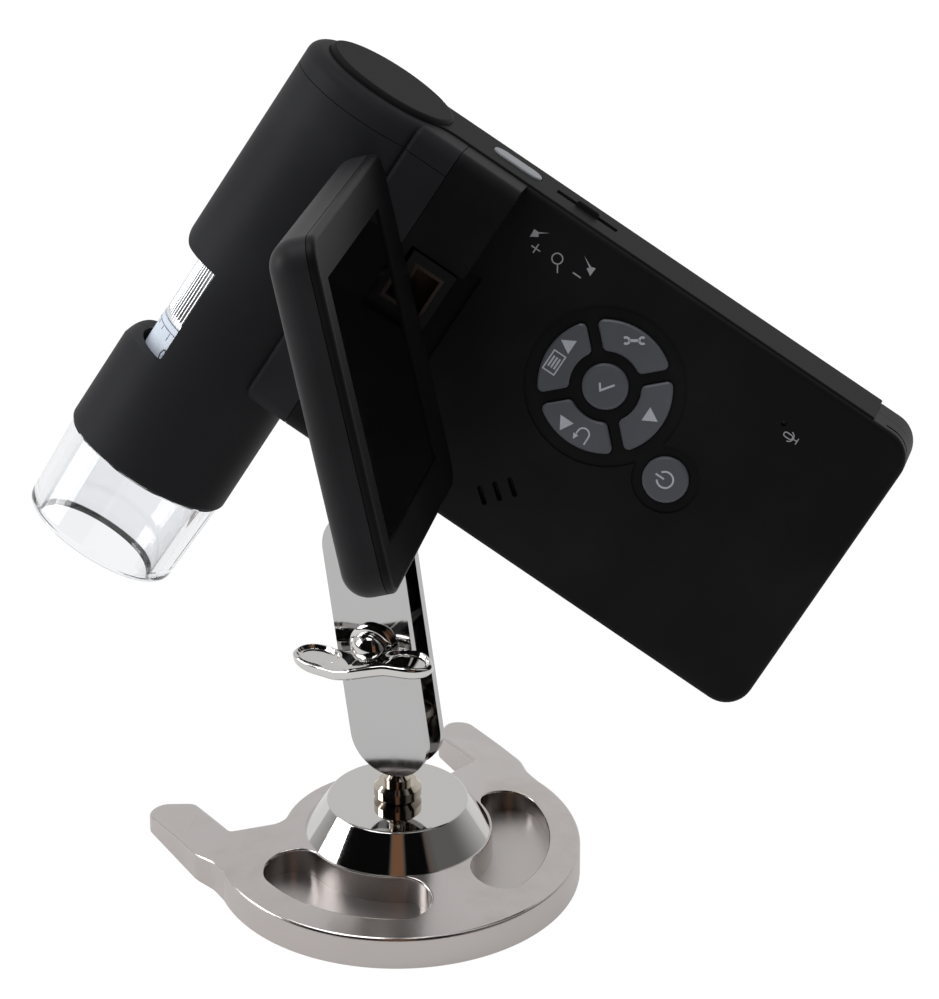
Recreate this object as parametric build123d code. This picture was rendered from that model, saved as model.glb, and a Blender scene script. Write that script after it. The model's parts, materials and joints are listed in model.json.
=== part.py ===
from build123d import *
import os
from math import acos, cos, degrees, radians, sin, sqrt

# A hand-held LCD digital microscope on a ball-jointed clamp stand. Millimetres.
# Row frame: origin at the centre of the foot's underside, +Z up, the foot's pockets towards -Y
# and its two arms towards +Y.
# Handset frame: X from the barrel axis towards the far end of the body, Y from the lens end
# towards the cap, Z out of the key panel. Its origin is on the barrel axis in X, on the top edge
# in Y and on the rear face in Z.
# Lid frame: origin where the fold axis meets the swivel axis, z out along the lid, x out of the
# display, y across the lid.

# ---------------------------------------------------------------- fits shared by all pieces
SEAM = 0.15            # visible parting line between two mouldings
RUN = 0.05             # radial clearance of a turning or sliding fit
KEY_GAP = 0.25         # clearance round a key in its opening
SEAT = 0.1             # clearance where one piece rests near another

# ---------------------------------------------------------------- body and barrel sizes
BODY_END = 134.6       # far end of the body from the barrel axis
BODY_HEIGHT = 70.0
BODY_THICK = 21.0
BODY_CORNER = 6.4
BODY_FRONT_ROUND = 1.2
BODY_REAR_ROUND = 2.5
WALL = 2.0
PARTING_Z = 11.0
JOIN_X = 21.2          # seam between the barrel half and the body half

BARREL_R = 19.0
BARREL_WALL = 3.4
BARREL_AXIS_Z = 14.0
BARREL_LENGTH = 98.5
BARREL_TOP_ROUND = 2.8
CAP_SEAM = 5.75        # depth of the seam under the barrel's cap
CAP_DECK = 4.0         # closed top of the barrel

WINDOW_ABOVE_MOUTH = 47.3  # finger window over the focus ring, from its upper edge to the mouth
WINDOW_TOP = BARREL_LENGTH - WINDOW_ABOVE_MOUTH
WINDOW_LENGTH = 23.3
WINDOW_X = -8.0
WINDOW_FLARE = 3.0     # rounding of the barrel's edges beside the window
BARREL_RIM_ROUND = 1.2

HUMP_LEFT = 10.8        # raised hinge housing along the barrel
HUMP_RIGHT = 36.0
HUMP_Z = 31.0
HUMP_END_ROUND = 3.0

TRIM_THICK = 1.4       # keyhole-shaped strip on the top edge
TRIM_PROUD = 0.45
CAP_PROUD = 1.4        # the round end of the strip stands higher
CAP_ROUND = 0.9
TRIM_DISC_R = 15.2
TRIM_LOW_Z = 1.2
TRIM_HIGH_Z = 20.0
TRIM_END = 123.4
TRIM_BLEND = 8.0

# ---------------------------------------------------------------- optics inside the barrel
RING_R = 14.2          # focus ring under the window
RING_BORE_R = 11.2
RING_ABOVE_MOUTH = 53.5    # the ring hangs at a fixed distance above the barrel's mouth
RING_TOP = BARREL_LENGTH - RING_ABOVE_MOUTH
RING_RIBBED = 22.5     # length with ribs, above the scale band
RING_BAND_TOP = RING_TOP + RING_RIBBED
RING_LENGTH = 33.5
RING_BOTTOM = RING_TOP + RING_LENGTH
RING_RIB_COUNT = 40
RING_RIB_DEPTH = 0.5
BAND_THICK = 0.6
TUBE_R = 8.8
TUBE_BORE_R = 7.8
TUBE_FLANGE = 2.0
CARRIAGE_LENGTH = 14.0
CARRIAGE_BELOW_RING_TOP = 10.0
CARRIAGE_TOP = RING_TOP + CARRIAGE_BELOW_RING_TOP
CARRIAGE_BORE_R = 5.0
CARRIAGE_TRAVEL = 6.0
DRIVE_PIN_R = 1.0
LENS_R = 6.2
LENS_THICK = 2.4
LENS_EDGE = 0.8
SENSOR_ABOVE_RING = 15.0
SENSOR_BOARD_Y = RING_TOP - SENSOR_ABOVE_RING
SENSOR_BOARD_R = 14.0
SENSOR_BOARD_THICK = 1.6
SENSOR_SIDE = 8.0
SENSOR_THICK = 1.5
CABLE_WIDTH = 3.0
CABLE_THICK = 0.3
CABLE_LAP = 3.0        # how far the flat cable lies on each board
CABLE_GAP = 1.0
NOSE_SET_BACK = 5.3    # from the barrel's mouth to the lower face of the plate in it
NOSE_PLATE_Y = BARREL_LENGTH - NOSE_SET_BACK
NOSE_PLATE_THICK = 2.0
NOSE_HOLE_R = 6.0
LED_COUNT = 8
LED_CIRCLE_R = 10.6
LED_R = 1.5
LED_BOARD_GAP = 1.2
LED_BOARD_THICK = 1.2

TIP_LENGTH = 21.0      # clear tip below the barrel
TIP_R = 18.3
TIP_END_R = 17.3
TIP_END_ROUND = 2.6
TIP_BORE_R = 14.7
TIP_END_BORE_R = 13.9
TIP_LIP_R = 13.4
TIP_LIP = 1.4
TIP_SPIGOT = 5.0

# ---------------------------------------------------------------- keys, as X and Y on the panel
KEYPAD_X = 73.0
KEYPAD_Y = -26.3
OK_KEY_R = 5.0
RING_KEY_IN = 7.7
RING_KEY_OUT = 14.4
RING_KEY_SPOKE = 2.6   # distance between two ring keys
RING_RECESS_R = 17.4
RING_RECESS_DEPTH = 0.45
POWER_X = 94.5
POWER_Y = -35.7
POWER_KEY_R = 5.0
POWER_RECESS_R = 7.3
KEY_PROUD = 0.6
KEY_TRAVEL = 0.5
KEY_FLANGE = 0.7
KEY_FLANGE_THICK = 1.6
KEY_DOME = 0.7         # rounding of a key's top edge

SHUTTER_X = 31.3       # oval button on the top edge
SHUTTER_Z = 10.0
SHUTTER_LENGTH = 12.0
SHUTTER_WIDTH = 5.6
SHUTTER_PROUD = 0.8
SHUTTER_TRAVEL = 0.8

DIAL_X = 49.0          # sprung zoom dial behind its slot
DIAL_Y = -9.0
DIAL_R = 8.3
DIAL_THICK = 2.6
DIAL_Z = 10.0
DIAL_NIB = 5.4
DIAL_NIB_PROUD = 1.2
DIAL_SLOT = 15.2
DIAL_PIN_R = 1.5

SPEAKER_X = 66.4
SPEAKER_LOW = 11.6     # distance from the body's lower edge
SPEAKER_Y = SPEAKER_LOW - BODY_HEIGHT
SPEAKER_R = 8.0
SPEAKER_THICK = 3.4
SPEAKER_SLOTS = 3
SPEAKER_SLOT_LENGTH = 4.4
SPEAKER_SLOT_WIDTH = 1.1
SPEAKER_SLOT_PITCH = 3.4
SPEAKER_SLOT_TURN = -40.0
MIC_X = 108.4
MIC_Y = -11.3
MIC_R = 3.0
MIC_HOLE_R = 0.6
MIC_THICK = 2.6

# ---------------------------------------------------------------- inside the body
BOARD_THICK = 1.6
BOARD_Z = 10.0
BOARD_X0 = 42.0
BOARD_X1 = 129.0
BOARD_LOW = 4.0        # distance from the body's lower edge
BOARD_Y0 = BOARD_LOW - BODY_HEIGHT
BOARD_Y1 = -6.0
MAT_THICK = 2.6
MAT_MARGIN = 2.6
BATTERY_LENGTH = 53.0
BATTERY_WIDTH = 34.0
BATTERY_THICK = 5.7
BATTERY_X = 98.0
BATTERY_Y = -36.0
COVER_START = 67.0     # the cover runs from here to the body's far end
COVER_WIDTH = 42.0
COVER_THICK = 1.6
COVER_LIP = 0.9
COVER_LIP_THICK = 0.8
SCREW_LOW = 8.0        # the lower screws' distance from the body's lower edge
SCREW_LOW_Y = SCREW_LOW - BODY_HEIGHT
SCREW_PLACES = ((26.2, -13.0), (26.2, SCREW_LOW_Y), (128.0, SCREW_LOW_Y), (82.0, SCREW_LOW_Y - 2.6),
                (118.0, -7.2))
SCREW_BOSS_R = 2.7
BOARD_LEDGE = 1.2      # width of the ledge round a post, under the main board
SCREW_R = 1.0
SCREW_HEAD_R = 1.9
SCREW_HEAD_THICK = 1.6
SCREW_REACH = 15.5
SOCKET_DEPTH = 10.0
SOCKET_SIZES = {"usb_socket": (-15.2, 7.7, 3.9), "tv_socket": (-24.4, 6.0, 3.9),
                "card_socket": (-34.4, 12.0, 2.0)}  # Y, width and height
SOCKET_WALL = 0.4
FLAP_THICK = 1.4
FLAP_Y0 = -42.0
FLAP_Y1 = -8.5
FLAP_Z0 = 6.0
FLAP_Z1 = 17.5
PRY_START = 126.4      # the groove round the corner for a fingernail under the flap
PRY_DEPTH = 1.3
PRY_WIDTH = 1.0
INSERT_X = 50.0        # threaded insert for the stand, in the lower edge
INSERT_Z = 10.5
INSERT_R = 5.0
INSERT_LENGTH = 11.0
THREAD_R = 3.1         # a quarter-inch camera thread, as a plain cylinder

# ---------------------------------------------------------------- lid and its two-axis hinge
HINGE_X = 29.2
HINGE_Y = -36.0
HINGE_Z = 25.75
WELL_WIDTH = 28.0
WELL_LEFT = 23.2
WELL_RIGHT = 38.85
WELL_FLOOR_Z = 20.0
BLOCK_HALF = 5.3
BLOCK_WIDTH = 27.0
BLOCK_TOP = 6.6
BLOCK_WALL = 1.7
BRACKET_WALL = 0.8
FOLD_PIN_R = 2.0
FOLD_PIN_REACH = 3.2
SWIVEL_PIN_R = 2.4
SWIVEL_TUBE_WALL = 0.8
LID_TILT = 3.0         # the lid stands open 3 degrees short of square to the panel
LID_SWIVEL = 45.5      # and is turned this far about its own length
LID_START = 8.5        # distance from the fold axis to the lid's edge
LID_FRONT = 4.25       # distance from the swivel axis to the display side
LID_REAR = 6.05        # and to the back
LID_BACK_ROUND = 5.4
LID_CORNER = 6.0
LID_FRONT_ROUND = 1.2
BEZEL_THICK = 1.8
DISPLAY_LENGTH = 70.1  # a 3.5 inch picture, 4 by 3
DISPLAY_WIDTH = 52.6
DISPLAY_START = 18.6   # the lid round the picture: towards the hinge,
DISPLAY_END = 8.3      # at the free end
DISPLAY_SIDE = 9.9     # and at each side
LID_LENGTH = DISPLAY_START + DISPLAY_LENGTH + DISPLAY_END
LID_WIDTH = DISPLAY_WIDTH + 2 * DISPLAY_SIDE
GLASS_MARGIN = 0.7
GLASS_RECESS = 0.4
GLASS_THICK = 1.0
PANEL_LENGTH = DISPLAY_LENGTH + 6.8
PANEL_WIDTH = DISPLAY_WIDTH + 11.3
PANEL_THICK = 3.2
LID_WALL = 1.4
PIN_SOCKET = 8.0       # how far the swivel pin reaches into the lid

# ---------------------------------------------------------------- stand
FOOT_R = 40.3
FOOT_RIM = 7.4         # height of the sloping top above the disc's edge
FOOT_DOME = 11.0       # and under the boss,
FOOT_FLAT = 0.4        # where a flat ring this wide surrounds the boss
FOOT_EDGE = 0.8        # rounding of the top's outer edge
ARM_OUT = 41.2         # the foot's two arms
ARM_IN = 30.9
ARM_START = 17.5
ARM_TIP = 43.5
ARM_TIP_ROUND = 3.6
ARM_TIP_SLANT = 5.2    # the inner corner of each arm's end is cut this far
NECK_X = 39.7
NECK_Y = 12.0
NECK_ROUND = 8.0
LOBE_R = 25.4
LOBE_ROUND = 3.5
VALLEY_X = 18.5
VALLEY_Y = 14.4
ARM_ROOT_Y = 20.8
ARM_ROOT_ROUND = 1.6
POCKET_R = 27.2
POCKET_HALF_WIDTH = 6.3
POCKET_FLOOR = 4.4     # height of the pockets' floors
POCKET_EDGE = 0.5      # rounding of the pockets' edges
POCKET_TURN = 56.2
POCKET_ARC = 59.5
BOSS_R = 20.4
BOSS_TOP_R = 15.3
BOSS_HEIGHT = 7.8
BOSS_EDGE_ROUND = 0.8
STUD_R = 2.5
BOSS_SCREW_HEAD_R = 4.8
BOSS_SCREW_HEAD_THICK = 2.8
BOSS_SCREW_RECESS = 0.6
COLLAR_R = 5.25
COLLAR_THICK = 4.0
NECK_R = 2.9
SLIM_NECK_R = 1.9
BALL_R = 3.75
LOWER_BALL_Z = 35.8
ARM_LEAN = 7.95        # the clamp leans this far from upright
ARM_LEAN_TOWARDS = 127.05
ARM_SPIN = -4.65       # turn of the clamp about its own length
BALL_SPACING = 45.1
PLATE_WIDTH = 19.0
PLATE_THICK = 1.6
PLATE_GAP = 4.8
PLATE_END = 9.5        # distance from a ball's centre to the plate's end
NOTCH_LOW = 18.0       # the rear plate's notch for the upper stud, from the clamp's length
NOTCH_HIGH = 46.0
NOTCH_START = 1.2
WING_BOLT_R = 2.4
WING_FLANGE_R = 5.7    # the wing screw's round flange against the plate
WING_FLANGE = 1.2
WING_HUB_R = 4.7
WING_HUB = 5.2
WING_THICK = 3.2
WING_SAG = 0.8         # the wings lie this far below the bolt
WING_SECTIONS = (      # along a wing: from the bolt, back edge, front edge, rise and thickness
    (0.0, 2.5, 12.6, 0.0, 3.2), (4.0, 2.6, 11.8, 0.85, 3.2), (8.0, 1.4, 10.4, 1.2, 3.2),
    (12.0, 0.5, 10.0, 0.85, 3.2), (15.0, 1.1, 9.4, 0.3, 2.8), (16.6, 2.6, 8.0, 0.0, 1.8),
    (17.2, 4.0, 6.6, 0.0, 0.8))
DISH_AT = 11.0         # the dish in each face of a wing
DISH_OUT = 5.4
DISH_LENGTH = 9.0
DISH_WIDTH = 5.6
DISH_DEPTH = 0.9
NUT_R = 4.6
NUT_THICK = 2.6

HANDSET_LEAN = 33.9    # lean of the barrel from upright
HANDSET_LEAN_TOWARDS = -13.4
HANDSET_SPIN = -29.8   # turn of the handset about its own barrel direction
STUD_LENGTH = 17.3     # from the upper ball's centre to the handset's lower edge


# ---------------------------------------------------------------- helpers
def block(x0, x1, y0, y1, z0, z1):
    """A box between two corners."""
    return Pos((x0 + x1) / 2, (y0 + y1) / 2, (z0 + z1) / 2) * Box(x1 - x0, y1 - y0, z1 - z0)


def rod_y(x, z, radius, y0, y1):
    """A round bar along Y."""
    return Pos(x, (y0 + y1) / 2, z) * Rot(90, 0, 0) * Cylinder(radius, y1 - y0)


def rod_z(x, y, radius, z0, z1):
    """A round bar along Z."""
    return Pos(x, y, (z0 + z1) / 2) * Cylinder(radius, z1 - z0)


def barrel_rod(radius, depth0, depth1):
    """A round bar on the barrel axis, between two depths below the top edge."""
    return rod_y(0, BARREL_AXIS_Z, radius, -depth1, -depth0)


def turned(points):
    """A solid turned about Z from (radius, height) points, closed along the axis."""
    corners = [(r, h) for r, h in points]
    return revolve(make_face(Plane.XZ * Polyline(*corners, close=True)), Axis.Z)


def stretched(profile, z0, z1):
    """A sketch on XY pushed from one height to another."""
    return extrude(Pos(0, 0, z0) * profile, z1 - z0)


def edges_at(shape, axis, value, tolerance=0.01):
    """Every edge of a shape whose middle lies at one value along an axis."""
    pick = {"x": lambda e: e.center().X, "y": lambda e: e.center().Y, "z": lambda e: e.center().Z}[axis]
    return [edge for edge in shape.edges() if abs(pick(edge) - value) < tolerance]


# ---------------------------------------------------------------- places of the moving groups
ARM_PLACE = Pos(0, 0, LOWER_BALL_Z) * Rot(0, 0, ARM_LEAN_TOWARDS - 180) * Rot(0, -ARM_LEAN, 0)
CLAMP_PLACE = ARM_PLACE * Rot(0, 0, ARM_SPIN)
UPPER_BALL = (CLAMP_PLACE * Pos(0, 0, BALL_SPACING)).position
STUD_PLACE = Pos(UPPER_BALL) * Rot(0, 0, HANDSET_LEAN_TOWARDS) * Rot(0, HANDSET_LEAN, 0)
STUD_ANCHOR = Pos(-INSERT_X, BODY_HEIGHT + STUD_LENGTH, -INSERT_Z)
HANDSET_PLACE = STUD_PLACE * Rot(0, 0, HANDSET_SPIN) * Rot(90, 0, 0) * STUD_ANCHOR
HINGE_PLACE = HANDSET_PLACE * Pos(HINGE_X, HINGE_Y, HINGE_Z) * Rot(0, LID_TILT, 0)
LID_PLACE = HINGE_PLACE * Rot(0, 0, LID_SWIVEL)


# ---------------------------------------------------------------- barrel half
BARREL_BORE_R = BARREL_R - BARREL_WALL


def hump():
    """The hinge housing's outer shape, over both halves."""
    shape = block(HUMP_LEFT, HUMP_RIGHT, -BODY_HEIGHT, 0, 0, HUMP_Z)
    shape = fillet([e for e in edges_at(shape, "z", HUMP_Z) if abs(e.center().Y) < 0.01], HUMP_END_ROUND)
    shape = fillet([e for e in edges_at(shape, "z", HUMP_Z) if abs(e.center().Y + BODY_HEIGHT) < 0.01],
                   HUMP_END_ROUND)
    left = [e for e in edges_at(shape, "x", HUMP_LEFT) if abs(e.center().Z - HUMP_Z) < 0.01]
    return fillet(left, BODY_FRONT_ROUND)


def trim_outline(grow=0.0):
    """The keyhole outline of the top strip, drawn on XY with the handset's Z as its Y."""
    disc = Pos(0, BARREL_AXIS_Z) * Circle(TRIM_DISC_R)
    strip_height = TRIM_HIGH_Z - TRIM_LOW_Z
    strip = Pos(TRIM_END / 2, (TRIM_HIGH_Z + TRIM_LOW_Z) / 2) * Rectangle(TRIM_END, strip_height)
    outline = disc + strip
    waist = [v for v in outline.vertices() if 0 < v.X < TRIM_DISC_R]
    outline = fillet(waist, TRIM_BLEND)
    return offset(outline, grow) if grow else outline


def on_top_edge(profile, y0, y1):
    """A sketch drawn with the handset's X and Z, pushed along the handset's Y."""
    return Pos(0, y1, 0) * Rot(90, 0, 0) * extrude(profile, y1 - y0)


def shutter_slot(grow=0.0):
    """The oval of the shutter button, drawn with the handset's X and Z."""
    oval = SlotOverall(SHUTTER_LENGTH + 2 * grow, SHUTTER_WIDTH + 2 * grow)
    return Pos(SHUTTER_X, SHUTTER_Z) * oval


def top_edge_cuts():
    """The openings in the top edge: the strip's seat, the button's hole and the dial's slot."""
    seat = on_top_edge(trim_outline(SEAT), -TRIM_THICK, 1)
    return seat + top_edge_holes()


def top_edge_holes():
    """The button's hole and the dial's slot, through the strip and the wall under it."""
    button = on_top_edge(shutter_slot(KEY_GAP), -WALL - TRIM_THICK - 1, 2)
    slot_half = DIAL_SLOT / 2
    slot_z = DIAL_THICK / 2 + KEY_GAP
    slot = block(DIAL_X - slot_half, DIAL_X + slot_half, -WALL - TRIM_THICK - 1, 2,
                 DIAL_Z - slot_z, DIAL_Z + slot_z)
    return button + slot


def finger_window():
    """The cut for the window, with the barrel's edges beside it rounded off."""
    bottom = -WINDOW_TOP - WINDOW_LENGTH
    width = BARREL_R + WINDOW_X + 1
    opening = Pos(-BARREL_R - 1 + width / 2, (bottom - WINDOW_TOP) / 2) * Rectangle(width, WINDOW_LENGTH)
    for side, edge in ((1, -WINDOW_TOP), (-1, bottom)):
        middle = edge + side * WINDOW_FLARE
        corner = Pos(-BARREL_R, edge + side * WINDOW_FLARE / 2) * Rectangle(2 * WINDOW_FLARE, WINDOW_FLARE)
        opening += corner - Pos(-BARREL_R + WINDOW_FLARE, middle) * Circle(WINDOW_FLARE)
    return stretched(opening, BARREL_AXIS_Z - BARREL_R - 1, BARREL_AXIS_Z + BARREL_R + 1)


def barrel_half():
    """Both barrel shells as one hollow solid, before they are parted."""
    tube = barrel_rod(BARREL_R, 0, BARREL_LENGTH)
    tube = fillet(edges_at(tube, "y", 0), BARREL_TOP_ROUND)
    tube = fillet(edges_at(tube, "y", -BARREL_LENGTH), BARREL_RIM_ROUND)
    web = block(0, JOIN_X - SEAM / 2, -BODY_HEIGHT, 0, 0, BODY_THICK)
    side = block(0, JOIN_X - SEAM / 2, -BODY_HEIGHT - 1, 1, 0, HUMP_Z + 1)
    shape = tube + web + (hump() & side)
    shape -= barrel_rod(BARREL_BORE_R, CAP_DECK, BARREL_LENGTH + 1)
    hollow_x = BARREL_BORE_R + WALL / 2
    shape -= block(hollow_x, JOIN_X, -BODY_HEIGHT + WALL, -CAP_DECK, WALL, HUMP_Z - WALL)
    shape -= cable_slot()
    shape -= finger_window()
    return shape - on_top_edge(trim_outline(SEAT), -TRIM_THICK, 1)


def barrel_shells():
    """The front shell, up to the seam under the cap, and the rear shell with the cap rim."""
    whole = barrel_half()
    far = BARREL_R + BODY_END
    front_zone = block(-far, far, -far, -CAP_SEAM - SEAM, PARTING_Z + SEAM / 2, far)
    rear_zone = block(-far, far, -far, far, -far, PARTING_Z - SEAM / 2)
    rear_zone += block(-far, far, -CAP_SEAM, far, -far, far)
    return whole & front_zone, whole & rear_zone


def top_trim():
    """The keyhole strip on the top edge, slightly proud, with its domed round end."""
    strip = on_top_edge(trim_outline(), -TRIM_THICK, TRIM_PROUD)
    strip = chamfer(edges_at(strip, "y", TRIM_PROUD), TRIM_PROUD / 2)
    cap = rod_y(0, BARREL_AXIS_Z, TRIM_DISC_R, -TRIM_THICK, CAP_PROUD)
    cap = fillet(edges_at(cap, "y", CAP_PROUD), CAP_ROUND)
    return strip + cap - top_edge_holes()


def focus_ring():
    """The silver ring under the window, ribbed above and plain under its scale band."""
    ring = barrel_rod(RING_R, RING_TOP, RING_BAND_TOP)
    ring += barrel_rod(RING_R - BAND_THICK, RING_BAND_TOP, RING_BOTTOM)
    ring -= barrel_rod(RING_BORE_R, RING_TOP - 1, RING_BOTTOM + 1)
    pitch = 360 / RING_RIB_COUNT
    groove_width = RING_R * radians(pitch) * 0.35
    length = RING_BAND_TOP - RING_TOP - WALL
    middle = -(RING_BAND_TOP + RING_TOP) / 2
    grooves = [
        Pos(0, middle, BARREL_AXIS_Z) * Rot(0, pitch * k, 0) * Pos(RING_R, 0, 0)
        * Box(2 * RING_RIB_DEPTH, length, groove_width)
        for k in range(RING_RIB_COUNT)
    ]
    return ring - grooves


def scale_band():
    """The white band with the focus scale."""
    band = barrel_rod(RING_R + SEAT, RING_BAND_TOP + SEAT, RING_BOTTOM)
    return band - barrel_rod(RING_R - BAND_THICK, RING_BAND_TOP, RING_BOTTOM + 1)


def lens_tube():
    """The fixed tube that carries the ring on two flanges and guides the carriage in a slot."""
    led_board_top = NOSE_PLATE_Y - NOSE_PLATE_THICK - LED_BOARD_GAP - LED_BOARD_THICK
    tube = barrel_rod(TUBE_R, SENSOR_BOARD_Y + SENSOR_BOARD_THICK, led_board_top)
    spider = SENSOR_BOARD_Y + SENSOR_BOARD_THICK
    tube += barrel_rod(BARREL_BORE_R - SEAT, spider + WALL, spider + 2 * WALL)
    for depth in (RING_TOP + WALL / 2, RING_BOTTOM - WALL / 2 - TUBE_FLANGE):
        tube += barrel_rod(RING_BORE_R - RUN, depth, depth + TUBE_FLANGE)
    tube += barrel_rod(RING_R - 1, RING_TOP - TUBE_FLANGE - SEAT, RING_TOP - SEAT)
    tube += barrel_rod(RING_R - 1, RING_BOTTOM + SEAT, RING_BOTTOM + SEAT + TUBE_FLANGE)
    tube -= barrel_rod(TUBE_BORE_R, spider - 1, led_board_top + 1)
    slot_half = CARRIAGE_TRAVEL + DRIVE_PIN_R + KEY_GAP
    pin_y = -(CARRIAGE_TOP + CARRIAGE_LENGTH / 2)
    slot = block(-DRIVE_PIN_R - KEY_GAP, DRIVE_PIN_R + KEY_GAP, pin_y - slot_half, pin_y + slot_half,
                 BARREL_AXIS_Z, BARREL_AXIS_Z + TUBE_R + 1)
    return tube - slot


def lens_carriage():
    """The sliding cell of the two lenses, with the pin that the focus ring drives."""
    low = CARRIAGE_TOP + CARRIAGE_LENGTH
    cell = barrel_rod(TUBE_BORE_R - RUN, CARRIAGE_TOP, low)
    pin = Pos(0, -(CARRIAGE_TOP + low) / 2, BARREL_AXIS_Z + (RING_BORE_R - KEY_GAP) / 2)
    cell += pin * Cylinder(DRIVE_PIN_R, RING_BORE_R - KEY_GAP)
    cell -= barrel_rod(CARRIAGE_BORE_R, CARRIAGE_TOP - 1, low + 1)
    for depth in (CARRIAGE_TOP, low - LENS_THICK):
        cell -= barrel_rod(LENS_R + SEAT, depth, depth + LENS_THICK)
    return cell


def lens(depth, bulge):
    """A round lens, flat on one side and domed on the other, towards the cap where bulge is 1."""
    rise = LENS_THICK - LENS_EDGE
    dome_r = (LENS_R ** 2 + rise ** 2) / (2 * rise)
    start = degrees(acos(LENS_R / dome_r))
    outline = Polyline((0, LENS_THICK), (0, 0), (LENS_R, 0), (LENS_R, LENS_EDGE))
    outline += CenterArc((0, LENS_THICK - dome_r), dome_r, start, 90 - start)
    body = revolve(make_face(Plane.XZ * outline), Axis.Z)
    far = depth + LENS_THICK if bulge > 0 else depth
    return Pos(0, -far, BARREL_AXIS_Z) * Rot(-90 * bulge, 0, 0) * body


def led_places():
    """The turn of each lamp round the barrel axis."""
    return [Pos(0, 0, BARREL_AXIS_Z) * Rot(0, 360 / LED_COUNT * k, 0) for k in range(LED_COUNT)]


def led_bar(radius, depth0, depth1):
    """One bar at each lamp's place."""
    return [place * rod_y(LED_CIRCLE_R, 0, radius, -depth1, -depth0) for place in led_places()]


LED_BOARD_LOW = NOSE_PLATE_Y - NOSE_PLATE_THICK - LED_BOARD_GAP


def nose_plate():
    """The black plate in the barrel's mouth, with the lens hole and the lamp holes."""
    top = NOSE_PLATE_Y - NOSE_PLATE_THICK
    plate = barrel_rod(BARREL_BORE_R - SEAT, top, NOSE_PLATE_Y)
    plate -= barrel_rod(NOSE_HOLE_R, top - 1, NOSE_PLATE_Y + 1)
    return plate - led_bar(LED_R + SEAT, top - 1, NOSE_PLATE_Y + 1)


def led_board():
    """The ring-shaped lamp board above the nose plate."""
    board = barrel_rod(BARREL_BORE_R - SEAT, LED_BOARD_LOW - LED_BOARD_THICK, LED_BOARD_LOW)
    return board - barrel_rod(NOSE_HOLE_R, LED_BOARD_LOW - LED_BOARD_THICK - 1, LED_BOARD_LOW + 1)


def leds():
    """The round lamps that stand through the nose plate."""
    bars = led_bar(LED_R, LED_BOARD_LOW, NOSE_PLATE_Y + LED_R / 2)
    return Compound(children=[fillet(bar.edges().sort_by(Axis.Y)[0], LED_R * 0.6) for bar in bars])


def clear_tip():
    """The clear tip: a tapered cup with an open, rounded end and a spigot into the barrel."""
    top = -BARREL_LENGTH - SEAM
    end = -BARREL_LENGTH - TIP_LENGTH
    outside = Polyline((0, top), (TIP_R, top), (TIP_END_R, end), (0, end), close=True)
    cup = revolve(make_face(Plane.XZ * outside), Axis.Z)
    cup = fillet(cup.edges().sort_by(Axis.Z)[0], TIP_END_ROUND)
    spigot_r = BARREL_BORE_R - RUN
    cup += Pos(0, 0, top + TIP_SPIGOT / 2) * Cylinder(spigot_r, TIP_SPIGOT)
    hole = turned([(0, top + TIP_SPIGOT + 1), (TIP_BORE_R, top + TIP_SPIGOT + 1), (TIP_BORE_R, top),
                   (TIP_END_BORE_R, end + TIP_LIP), (TIP_LIP_R, end + TIP_LIP / 2),
                   (TIP_LIP_R, end - 1), (0, end - 1)])
    return Pos(0, 0, BARREL_AXIS_Z) * Rot(-90, 0, 0) * (cup - hole)


def sensor_parts():
    """The camera board, its sensor chip and the flat cable to the main board."""
    low = SENSOR_BOARD_Y + SENSOR_BOARD_THICK
    board = barrel_rod(SENSOR_BOARD_R, SENSOR_BOARD_Y, low)
    half = SENSOR_SIDE / 2
    chip = block(-half, half, -low - SENSOR_THICK, -low, BARREL_AXIS_Z - half, BARREL_AXIS_Z + half)
    cable_z = BOARD_Z + BOARD_THICK
    cable = block(SENSOR_BOARD_R - CABLE_LAP, BOARD_X0 + CABLE_LAP, -SENSOR_BOARD_Y,
                  -SENSOR_BOARD_Y + CABLE_THICK, cable_z, cable_z + CABLE_WIDTH)
    return board, chip, cable


def cable_slot():
    """The passage of the sensor's flat cable from the barrel into the body."""
    low = BOARD_Z + BOARD_THICK - CABLE_GAP
    high = BOARD_Z + BOARD_THICK + CABLE_WIDTH + CABLE_GAP
    return block(BARREL_AXIS_Z, JOIN_X + WALL + 1, -SENSOR_BOARD_Y - CABLE_GAP,
                 -SENSOR_BOARD_Y + CABLE_THICK + CABLE_GAP, low, high)


# ---------------------------------------------------------------- body half
def body_outline(inset=0.0):
    """The body's outline on XY, with the two far corners rounded."""
    x0 = JOIN_X + SEAM / 2 + inset
    x1 = BODY_END - inset
    height = BODY_HEIGHT - 2 * inset
    outline = Pos((x0 + x1) / 2, -BODY_HEIGHT / 2) * Rectangle(x1 - x0, height)
    return fillet(outline.vertices().group_by(Axis.X)[-1], BODY_CORNER - inset)


def body_solid():
    """The body's outer shape without the hump, edges eased."""
    body = stretched(body_outline(), 0, BODY_THICK)
    keep = [e for e in edges_at(body, "z", BODY_THICK) if e.center().X > JOIN_X + 1]
    body = fillet(keep, BODY_FRONT_ROUND)
    keep = [e for e in edges_at(body, "z", 0) if e.center().X > JOIN_X + 1]
    return fillet(keep, BODY_REAR_ROUND)


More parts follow.
